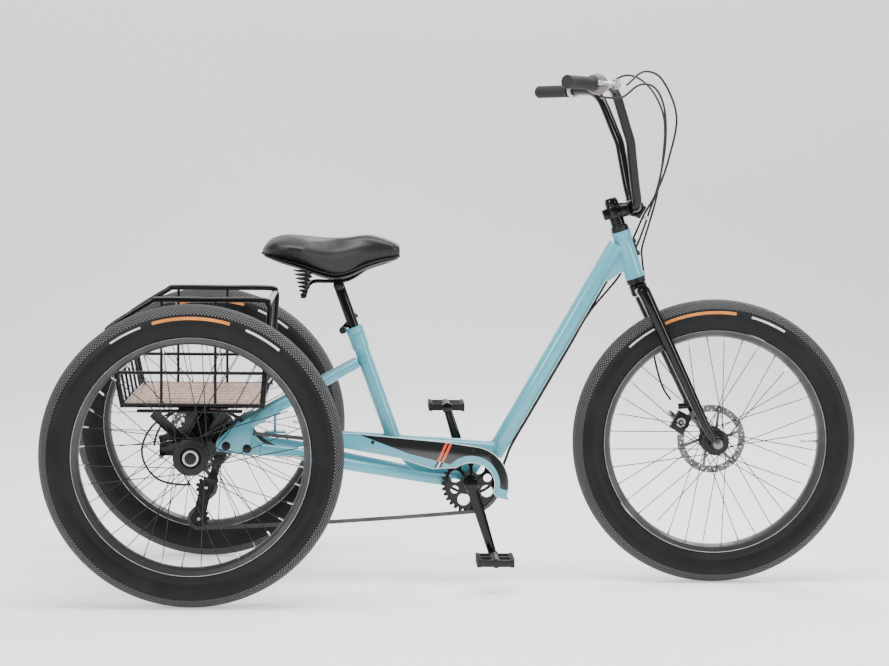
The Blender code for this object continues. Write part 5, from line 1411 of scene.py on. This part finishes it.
    def bar_route(self) -> list[Vector]:
        """The right half of the bar, from the clamp out to the grip's end."""
        x, z = BAR_CLAMP.x, BAR_CLAMP.z
        bends = [(x, -0.0340, z), (x, -0.0470, z + 0.0030), (x - 0.0010, -0.0560, z + 0.0110),
                 (x - 0.0020, -0.0610, z + 0.0240), (0.3918, -0.0740, 0.9240), (0.3810, -0.0980, 0.9900),
                 (0.3760, -0.1100, 1.0200), (0.3650, -0.1230, 1.0500), (0.3530, -0.1385, 1.0830),
                 (0.3420, -0.1530, 1.1120), (0.3360, -0.1610, 1.1240), (0.3280, -0.1740, 1.1350),
                 (0.3180, -0.1920, 1.1420), (0.3060, -0.2120, 1.1450), (0.2800, -0.2545, 1.1450),
                 (0.2080, -0.3720, 1.1450)]
        return as_points(bends)

    def bar(self, finishes: Finishes) -> None:
        """Bend the high-rise bar out of one tube."""
        right = smooth_path(self.bar_route(), 4)
        route = list(reversed(right)) + mirrored(right)
        Form().sweep(route, self.bar_radius, 28).piece("bar_tube", "steering", Slot.BLACK, finishes.black,
                                                       ["handlebar"])

    def grip_end(self, side: float) -> tuple[Vector, Vector]:
        """One grip's outer end and its outward direction; side is -1 on the right."""
        route = self.bar_route()
        way = (route[-1] - route[-2]).normalized()
        return Vector((route[-1].x, -side * route[-1].y, route[-1].z)), Vector((way.x, -side * way.y, 0.0))

    def grip(self, name: str, side: float, finishes: Finishes) -> None:
        """Mould one grip, with finger ribs, an inner flange and a closed end."""
        end, way = self.grip_end(side)
        profile = [(0.0116, 0.004 - self.grip_length), (0.0153, 0.004 - self.grip_length),
                   (0.0153, 0.010 - self.grip_length), (0.0138, 0.012 - self.grip_length)]
        ribs = 22
        for index in range(ribs):
            start = 0.014 - self.grip_length + index * (self.grip_length - 0.022) / ribs
            profile += [(0.0138, start), (0.0148, start + 0.0011), (0.0148, start + 0.0029),
                        (0.0138, start + 0.0040)]
        profile += [(0.0150, -0.006), (0.0152, 0.0010), (0.0138, 0.0038), (0.0116, 0.0040)]
        form = Form().lathe(profile, end, way, 40)
        form.lathe([(0.0, 0.0012), (0.0120, 0.0012), (0.0130, 0.0036), (0.0, 0.0040)], end, way, 40,
                   closed=False)
        form.piece(name + "_grip_sleeve", "steering", Slot.GRIP, finishes.grip, [name + "_grip"])

    def lever(self, name: str, side: float, finishes: Finishes) -> None:
        """Finish one lever's mount and shape its flattened two-finger blade."""
        refine(name + "_lever_mount", "steering", Slot.ANODISED, finishes.alloy, 0.0008)
        joint = next(j for j in frame["joints"] if j["name"] == name + "_brake_lever")
        hinge = Vector(joint["pos_m"])
        _, along = self.grip_end(side)
        ahead = Vector((abs(along.y), -side * along.x, 0.0))
        path = smooth_path([hinge, hinge + along * 0.030 + ahead * 0.004,
                            hinge + along * 0.070 + ahead * 0.003, hinge + along * 0.105 + ahead * 0.010],
                            6)
        sizes = [(0.0046, 0.0038)] * len(path)
        form = Form().sweep(path, sizes, 18)
        form.rod(hinge - Vector((0.0, 0.0, 0.0050)), hinge + Vector((0.0, 0.0, 0.0050)), 0.0070, sides=28,
                 edge=0.0008)
        form.rod(path[-1] - Vector((0.0, 0.0, 0.0050)), path[-1] + Vector((0.0, 0.0, 0.0050)), 0.0056,
                 sides=24, edge=0.0018)
        form.piece(name + "_lever_blade", name + "_brake_lever", Slot.ANODISED, finishes.alloy,
                   [name + "_brake_lever"])

    def shifter(self, finishes: Finishes) -> None:
        """Mould the ribbed twist shifter and its coloured indicator ring."""
        end, way = self.grip_end(-1.0)
        profile = [(0.0120, -0.1555), (0.0232, -0.1555), (0.0238, -0.1500), (0.0238, -0.1440),
                   (0.0226, -0.1425)]
        form = Form().lathe(profile + [(0.0205, -0.1290), (0.0188, -0.1235), (0.0120, -0.1235)], end, way,
                            56, edge=0.0004)
        side = way.orthogonal().normalized()
        for index in range(24):
            turn = Matrix.Rotation(2.0 * math.pi * index / 24, 3, way)
            form.rod(end - way * 0.1410 + turn @ side * 0.0216, end - way * 0.1265 + turn @ side * 0.0196,
                     0.0012, sides=8)
        form.piece("shifter_drum", "twist_shifter", Slot.SHIFTER, finishes.shifter, ["twist_shifter"])
        ring = Form().lathe(sleeve(0.0225, 0.0233, -0.1438, -0.1418), end, way, 56)
        ring.piece("shifter_ring", "twist_shifter", Slot.SHIFTER, finishes.rose)


# --- Brakes and small cast parts ---

@dataclass(frozen=True)
class SmallParts:
    """Cast and machined parts that keep their CAD shape with eased edges, and what is bolted on."""

    def build(self, finishes: Finishes) -> None:
        """Finish the carrier, calipers and their arms, collar, clamp lever and cable guide."""
        refine("axle_carrier", "frame", Slot.BLACK, finishes.black, 0.0010)
        refine("rear_caliper", "frame", Slot.ANODISED, finishes.anodised, 0.0018)
        self.dial(refine("front_caliper", "steering", Slot.ANODISED, finishes.anodised, 0.0018), finishes)
        refine("rear_caliper_arm", "rear_caliper_arm", Slot.ANODISED, finishes.alloy, 0.0006)
        refine("front_caliper_arm", "front_caliper_arm", Slot.ANODISED, finishes.alloy, 0.0006)
        refine("seat_collar", "frame", Slot.PAINT, finishes.teal, 0.0007)
        refine("seat_clamp_lever", "seat_clamp_lever", Slot.ANODISED, finishes.anodised, 0.0010)
        refine("cable_guide", "frame", Slot.PLASTIC, finishes.plastic, 0.0005)
        self.screws(finishes)
        self.plates(finishes)

    def dial(self, caliper: bpy.types.Object, finishes: Finishes) -> None:
        """Set the front caliper's pad adjuster, a low ringed dial, into its inboard face."""
        points = [vert.co for vert in caliper.data.vertices]
        inboard = min(point.y for point in points)
        close = [point for point in points if point.y < inboard + 0.0040]
        middle = sum(close, Vector()) / len(close)
        ring = Form().lathe(sleeve(0.0062, 0.0110, inboard - 0.0011, inboard + 0.0010),
                            Vector((middle.x, 0.0, middle.z)), steps=48, edge=0.0003)
        ring.across((middle.x, 0.0, middle.z), inboard - 0.0008, inboard + 0.0010, 0.0036, sides=6,
                    edge=0.0003)
        ring.piece("front_caliper_dial", "steering", Slot.STEEL, finishes.alloy)

    def plates(self, finishes: Finishes) -> None:
        """Bolt the frame's painted plates to the outside of the axle carrier."""
        outline = [(-0.5562, 0.3335), (-0.5201, 0.3657), (-0.4884, 0.3818), (-0.4780, 0.3870),
                   (-0.4780, 0.3005), (-0.5561, 0.3106)]
        head = 0.0078
        plates, bolts = Form(), Form()
        for side in (-1.0, 1.0):
            low, high = sorted((side * 0.0893, side * 0.0925))
            plates.plate(outline, low, high, 0.0006)
            for x, z in ((-0.5335, 0.3222), (-0.4860, 0.3160)):
                bolts.flank((x, 0.0, z), side, 0.0915, 0.0955, head, sides=6, edge=0.0008)
                bolts.flank((x, 0.0, z), side, 0.0915, 0.0931, head + 0.0022, edge=0.0003)
        plates.piece("carrier_plates", "frame", Slot.PAINT, finishes.teal)
        bolts.piece("carrier_bolts", "frame", Slot.ANODISED, finishes.anodised)

    def screws(self, finishes: Finishes) -> None:
        """Set the bright inserts in the pillow bearings."""
        fixed = Form()
        for side in (-1.0, 1.0):
            low, high = sorted((side * 0.2708, side * 0.2722))
            fixed.lathe(sleeve(0.0100, 0.0205, low, high), REAR_AXLE, steps=40)
        fixed.piece("carrier_screws", "frame", Slot.STEEL, finishes.steel)


# --- Saddle ---

@dataclass(frozen=True)
class Saddle:
    """The padded saddle, its seam and shell, and the two coil springs."""

    rows: tuple = ((-0.4585, 0.7600, 0.7720, 0.0520), (-0.4450, 0.7505, 0.7860, 0.0900),
                   (-0.4253, 0.7440, 0.7935, 0.1080), (-0.4000, 0.7365, 0.7955, 0.1180),
                   (-0.3640, 0.7255, 0.7940, 0.1180), (-0.3275, 0.7110, 0.7905, 0.1020),
                   (-0.2889, 0.7010, 0.7890, 0.0800), (-0.2549, 0.7080, 0.7915, 0.0620),
                   (-0.2210, 0.7240, 0.7960, 0.0470), (-0.1850, 0.7370, 0.7955, 0.0390),
                   (-0.1530, 0.7450, 0.7880, 0.0320), (-0.1385, 0.7500, 0.7800, 0.0230))
    swell: float = 0.0060
    voxel: float = 0.0045

    def build(self, finishes: Finishes) -> None:
        """Make the cushion, its piping, the shell under it and the springs."""
        cushion = self.cushion()
        settle(cushion, "seatpost", finishes.vinyl, ["saddle"])
        self.trim(finishes)
        self.post(finishes)
        for name, side in (("right", -1.0), ("left", 1.0)):
            self.spring(name, side, finishes)

    def ring(self, row: Sequence[float], sides: int = 40) -> list[Vector]:
        """One cross section of the cushion, fuller towards its top."""
        x, low, high, half = row
        middle = low + (high - low) * 0.60
        points = []
        for index in range(sides):
            angle = 2.0 * math.pi * index / sides
            rise = math.sin(angle)
            y = half * math.copysign(abs(math.cos(angle)) ** 0.8, math.cos(angle))
            points.append(Vector((x, y, middle + rise * (high - middle if rise > 0.0 else middle - low))))
        return points

    def dense_rows(self) -> list[Vector]:
        """The rows, smoothed along the saddle, as (x, low, high, half) in four-part vectors."""
        found = smooth_path([row[:3] for row in self.rows], 4)
        halves = smooth_path([(row[0], row[3], 0.0) for row in self.rows], 4)
        return [Vector((point.x, point.y, point.z, half.y)) for point, half in zip(found, halves)]

    def cushion(self) -> bpy.types.Object:
        """Stretch the cover over the foam with cloth under a little pressure."""
        part = bmesh.new()
        loops = []
        for row in self.dense_rows():
            points = self.ring(row)
            made = bmesh.ops.create_circle(part, cap_ends=False, segments=len(points), radius=1.0)["verts"]
            for vert, point in zip(made, points):
                vert.co = point
            loops.append(list({edge for vert in made for edge in vert.link_edges}))
        for lower, upper in zip(loops, loops[1:]):
            bmesh.ops.bridge_loops(part, edges=lower + upper)
        bmesh.ops.edgeloop_fill(part, edges=loops[0])
        bmesh.ops.edgeloop_fill(part, edges=loops[-1])
        made = Form().take(part).object("saddle_cushion")
        remesh = made.modifiers.new("even", "REMESH")
        remesh.mode = "VOXEL"
        remesh.voxel_size = self.voxel
        apply_modifiers(made)
        self.inflate(made)
        smooth = made.modifiers.new("soften", "SMOOTH")
        smooth.factor = 0.5
        smooth.iterations = 8
        apply_modifiers(made)
        finer = made.modifiers.new("finer", "SUBSURF")
        finer.levels = finer.render_levels = 1
        apply_modifiers(made)
        made.data.shade_smooth()
        return made

    def inflate(self, made: bpy.types.Object) -> None:
        """Run the cloth, cap how far each point moves, and keep the result."""
        rest = [vert.co.copy() for vert in made.data.vertices]
        cloth = made.modifiers.new("cover", "CLOTH")
        cloth.settings.use_pressure = True
        cloth.settings.uniform_pressure_force = 4.0
        cloth.settings.effector_weights.gravity = 0.0
        cloth.point_cache.frame_end = 20
        for step in range(1, 21):
            bpy.context.scene.frame_set(step)
        apply_modifiers(made)
        bpy.context.scene.frame_set(1)
        for vert, start in zip(made.data.vertices, rest):
            move = vert.co - start
            if move.length > self.swell:
                vert.co = start + move.normalized() * self.swell

    def post(self, finishes: Finishes) -> None:
        """Join the seatpost, its clamp, the two rails and the hangers of the springs."""
        form = Form().rod(SEAT_TOP - SEAT_UP * 0.130, SEAT_TOP + SEAT_UP * 0.122, 0.0127, sides=40,
                          edge=0.0008)
        head = SEAT_TOP + SEAT_UP * 0.120
        form.across(head, -0.0260, 0.0260, 0.0125, edge=0.0014)
        for side in (-1.0, 1.0):
            form.flank(head, side, 0.0255, 0.0315, 0.0080, sides=6, edge=0.0008)
            rail = [(-0.3560, side * 0.0790, 0.6640), (-0.3520, side * 0.0600, 0.6790),
                    (-0.3400, side * 0.0340, 0.6930), (-0.3100, side * 0.0220, 0.6945),
                    (-0.2820, side * 0.0200, 0.6945), (-0.2550, side * 0.0195, 0.7000),
                    (-0.2250, side * 0.0165, 0.7190), (-0.1950, side * 0.0120, 0.7420)]
            form.tube(rail, 0.0034, 16, 5)
        form.piece("seatpost_tube", "seatpost", Slot.BLACK, finishes.black, ["seatpost"])

    def trim(self, finishes: Finishes) -> None:
        """Run the piping round the cushion's waist and set the moulded shell under it."""
        rows = self.dense_rows()
        right = [Vector((row[0], -(row[3] * 0.74 + 0.0030),
                         row[1] + (row[2] - row[1]) * 0.13)) for row in rows[1:-1]]
        loop = right + list(reversed(mirrored(right)))
        Form().sweep(loop, 0.0017, 10, closed=True).piece("saddle_piping", "seatpost", Slot.VINYL,
                                                          finishes.grip)
        shell = Form()
        path = [Vector((row[0], 0.0, row[1] + 0.0035)) for row in rows[3:-3]]
        sizes = [(row[3] * 0.84, 0.0050) for row in rows[3:-3]]
        shell.sweep(path, sizes, 32)
        shell.piece("saddle_shell", "seatpost", Slot.PLASTIC, finishes.plastic)

    def spring(self, name: str, side: float, finishes: Finishes) -> None:
        """Coil one tapered spring between its rail and the shell."""
        turns = 6.5
        count = 200
        points = []
        for step in range(count + 1):
            t = step / count
            angle = 2.0 * math.pi * turns * t
            radius = 0.0045 + 0.0168 * t
            points.append((-0.3600 + radius * math.cos(angle), side * 0.0800 + radius * math.sin(angle),
                           0.6625 + 0.0600 * t))
        form = Form().sweep(points, [(0.0021, 0.0021)] * len(points), 12)
        form.rod((-0.3600, side * 0.0800, 0.6590), (-0.3600, side * 0.0800, 0.6650), 0.0062, sides=28,
                 edge=0.0012)
        form.piece(name + "_coil_spring", "seatpost", Slot.BLACK, finishes.black, [name + "_saddle_spring"])


# --- Cables ---

@dataclass(frozen=True)
class Cables:
    """The three outer cables: two run from the bar to the rear and one to the front caliper."""

    radius: float = 0.0025
    bars_brake: tuple = ((0.402, -0.130, 1.178), (0.449, -0.090, 1.161), (0.488, -0.050, 1.080),
                         (0.477, -0.010, 0.984), (0.455, 0.014, 0.910), (0.424, 0.023, 0.850),
                         (0.4050, 0.0230, 0.8060), (0.3920, 0.0280, 0.7780), (0.3720, 0.0290, 0.7480),
                         (0.3480, 0.0230, 0.7090))
    bars_shift: tuple = ((0.345, -0.212, 1.118), (0.385, -0.185, 1.146), (0.425, -0.140, 1.142),
                         (0.453, -0.098, 1.098), (0.462, -0.062, 1.020), (0.452, -0.034, 0.930),
                         (0.432, -0.004, 0.853), (0.4160, 0.0110, 0.8000), (0.4050, 0.0250, 0.7710),
                         (0.3860, 0.0300, 0.7380), (0.3620, 0.0220, 0.7000))
    turn: tuple = ((0.1080, 0.0070, 0.2800), (0.0900, 0.0070, 0.2380), (0.0520, 0.0070, 0.2080),
                   (0.0100, 0.0070, 0.2060), (-0.0400, 0.0070, 0.2260), (-0.1400, 0.0070, 0.2470))
    rear_brake: tuple = ((-0.2650, 0.0080, 0.2700), (-0.3660, 0.0100, 0.2930), (-0.4400, 0.0110, 0.3180),
                         (-0.5000, 0.0110, 0.3700), (-0.5600, 0.0110, 0.3980), (-0.6300, 0.0110, 0.3990),
                         (-0.6740, 0.0110, 0.3760), (-0.6970, 0.0110, 0.3400), (-0.7045, 0.0110, 0.3100))
    rear_shift: tuple = ((-0.2650, -0.0070, 0.2700), (-0.3660, -0.0130, 0.2930), (-0.4400, -0.0260, 0.3180),
                         (-0.4850, -0.0300, 0.3580), (-0.5400, -0.0310, 0.3960), (-0.6000, -0.0320, 0.4030),
                         (-0.6600, -0.0340, 0.3920), (-0.7050, -0.0400, 0.3600), (-0.7270, -0.0460, 0.3150),
                         (-0.7200, -0.0480, 0.2730), (-0.6900, -0.0520, 0.2400), (-0.6450, -0.0580, 0.2290),
                         (-0.6150, -0.0630, 0.2300))
    front: tuple = ((0.395, 0.150, 1.180), (0.445, 0.105, 1.150), (0.474, 0.065, 1.080),
                    (0.470, 0.036, 0.990), (0.455, 0.020, 0.900), (0.436, 0.014, 0.830),
                    (0.4215, 0.0140, 0.7780), (0.4240, 0.0260, 0.7480), (0.4320, 0.0520, 0.7080),
                    (0.4400, 0.0860, 0.6600), (0.4560, 0.0880, 0.5800), (0.4640, 0.0800, 0.5130),
                    (0.4820, 0.0740, 0.4500), (0.5020, 0.0700, 0.4180))

    def under_tube(self, y: float) -> list[Vector]:
        """The straight stretch just below the down tube."""
        along = (DOWN_TOP - DOWN_LOW).normalized()
        below = Vector((along.z, 0.0, -along.x)) * (0.0200 + self.radius + 0.0015)
        points = []
        for height in (0.640, 0.560, 0.480, 0.400, 0.330):
            middle = DOWN_LOW + along * ((height - DOWN_LOW.z) / along.z) + below
            points.append(Vector((middle.x, y, middle.z)))
        return points

    def exit(self, name: str, side: float) -> Vector:
        """Where the cable leaves a lever's adjuster."""
        joint = next(j for j in frame["joints"] if j["name"] == name + "_brake_lever")
        return Vector(joint["pos_m"]) + Vector((0.0270, -side * 0.0374, 0.0))

    def build(self, finishes: Finishes) -> None:
        """Lay the cables; the two that run to the rear are baked in place on no body."""
        turn = list(self.turn)
        brake = [self.exit("right", -1.0), *self.bars_brake, *self.under_tube(0.0070), *turn,
                 *self.rear_brake]
        inboard = [(x, y - 0.0130, z) for x, y, z in turn]
        end, way = Steering().grip_end(-1.0)
        start = [end - way * 0.1460 + Vector((0.0060, 0.0, -0.0270)),
                 end - way * 0.1750 + Vector((0.0120, 0.0, -0.0290))]
        shift = [*start, *self.bars_shift, *self.under_tube(-0.0060), *inboard, *self.rear_shift]
        for name, route in (("rear_brake", brake), ("shift", shift)):
            made = Form().tube(route, self.radius, 12, 6).object(name + "_outer")
            made.data.materials.append(finishes.plastic)
            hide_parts(name + "_cable")
            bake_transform(made)
            LOG.info("%s bends between steering and frame", made.name)
        front = [self.exit("left", 1.0), *self.front]
        Form().tube(front, self.radius, 12, 6).piece("front_brake_outer", "steering", Slot.PLASTIC,
                                                     finishes.plastic, ["front_brake_cable"])


# --- Studio ---

@dataclass(frozen=True)
class Studio:
    """The floor, the soft lights and the camera."""

    position: Vector = field(default_factory=lambda: Vector((-0.2585, -5.479, 0.964)))
    yaw: float = math.radians(2.33)
    pitch: float = math.radians(4.04)
    roll: float = math.radians(0.59)
    lens: float = 96.3

    def build(self) -> None:
        """Make the sweep, the world's light, the lamps and the camera."""
        self.sweep()
        world = bpy.data.worlds.new("studio")
        world.use_nodes = True
        world.node_tree.nodes["Background"].inputs["Color"].default_value = (1.0, 1.0, 1.0, 1.0)
        world.node_tree.nodes["Background"].inputs["Strength"].default_value = 0.26
        bpy.context.scene.world = world
        self.lamp("overhead", (0.0, -0.6, 3.4), (0.0, 0.0, 0.4), (3.6, 1.2), 170.0)
        self.lamp("key", (-3.2, -3.4, 2.6), (0.0, 0.0, 0.5), (1.0, 2.4), 130.0)
        self.lamp("side", (3.4, -2.6, 1.8), (0.0, 0.0, 0.5), (0.7, 2.4), 80.0)
        self.lamp("back", (1.5, 3.0, 3.0), (0.0, 0.6, 0.3), (3.0, 1.2), 110.0)
        self.camera()

    def sweep(self) -> None:
        """A pale floor that curves up into a backdrop."""
        part = bmesh.new()
        first = [part.verts.new((x, -30.0, 0.0)) for x in (-40.0, 40.0)]
        ring = [part.edges.new(first)]
        path = [(4.0, 0.0)] + [(4.0 + 2.0 * math.sin(a), 2.0 - 2.0 * math.cos(a))
                               for a in (math.radians(7.5 * step) for step in range(1, 13))] + [(6.0, 24.0)]
        last = Vector((0.0, -30.0, 0.0))
        for y, z in path:
            grown = bmesh.ops.extrude_edge_only(part, edges=ring)["geom"]
            here = Vector((0.0, y, z))
            verts = [item for item in grown if isinstance(item, bmesh.types.BMVert)]
            bmesh.ops.translate(part, vec=here - last, verts=verts)
            ring = [item for item in grown
                    if isinstance(item, bmesh.types.BMEdge) and all(v in verts for v in item.verts)]
            last = here
        mesh = bpy.data.meshes.new("floor")
        part.to_mesh(mesh)
        part.free()
        mesh.shade_smooth()
        floor = bpy.data.objects.new("floor", mesh)
        bpy.context.scene.collection.objects.link(floor)
        shader = Shader("pale_floor")
        tone = shader.mix(shader.noise(0.8, 2.0), (0.86, 0.86, 0.86, 1.0), (0.88, 0.88, 0.88, 1.0))
        floor.data.materials.append(shader.dress(Base_Color=tone, Roughness=0.85,
                                                 Emission_Color=(1.0, 1.0, 1.0, 1.0),
                                                 Emission_Strength=0.56))

    def lamp(self, name: str, place: Sequence[float], aim: Sequence[float], size: Sequence[float],
             power: float) -> None:
        """One soft rectangular lamp, turned towards a point."""
        light = bpy.data.lights.new(name, "AREA")
        light.shape = "RECTANGLE"
        light.size, light.size_y = size
        light.energy = power
        made = bpy.data.objects.new(name, light)
        made.location = place
        made.rotation_euler = (Vector(aim) - Vector(place)).to_track_quat("-Z", "Y").to_euler()
        bpy.context.scene.collection.objects.link(made)

    def camera(self) -> None:
        """Stand the camera on the trike's right, nearly square to it."""
        forward = Vector((math.sin(self.yaw) * math.cos(self.pitch),
                          math.cos(self.yaw) * math.cos(self.pitch), -math.sin(self.pitch)))
        level = Vector((math.cos(self.yaw), -math.sin(self.yaw), 0.0))
        upright = level.cross(forward)
        right = level * math.cos(self.roll) + upright * math.sin(self.roll)
        up = upright * math.cos(self.roll) - level * math.sin(self.roll)
        data = bpy.data.cameras.new("camera")
        data.sensor_width = 36.0
        data.lens = self.lens
        made = bpy.data.objects.new("camera", data)
        facing = Matrix((right, up, -forward)).transposed().to_4x4()
        made.matrix_world = Matrix.Translation(self.position) @ facing
        bpy.context.scene.collection.objects.link(made)
        bpy.context.scene.camera = made


def main() -> None:
    """Build every sub-assembly in order."""
    logging.basicConfig(level=logging.INFO, format="%(name)s: %(message)s")
    Studio().build()
    finishes = Finishes()
    Cables().build(finishes)
    MainFrame().build(finishes)
    ChainGuard().build(finishes)
    Steering().build(finishes)
    SmallParts().build(finishes)
    Basket().build(finishes)
    Wheel("front", FRONT_AXLE, "front_wheel", 0.0265, 0.0322, 0.0460).build(finishes)
    for name, side in (("right", -1.0), ("left", 1.0)):
        centre = REAR_AXLE + Vector((0.0, side * TRACK_HALF, 0.0))
        Wheel(name, centre, name + "_wheel", 0.0345, 0.0325, 0.0380).build(finishes)
    AxleEnds().build(finishes)
    Rotor("front_disc", "front_rotor", "front_wheel", FRONT_AXLE).build(finishes)
    Rotor("rear_disc", "rear_rotor", "left_wheel", REAR_AXLE).build(finishes)
    Crankset().build(finishes)
    RearGears().build(finishes)
    Chain().build(finishes)
    Saddle().build(finishes)
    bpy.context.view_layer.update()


if __name__ == "__main__":
    main()
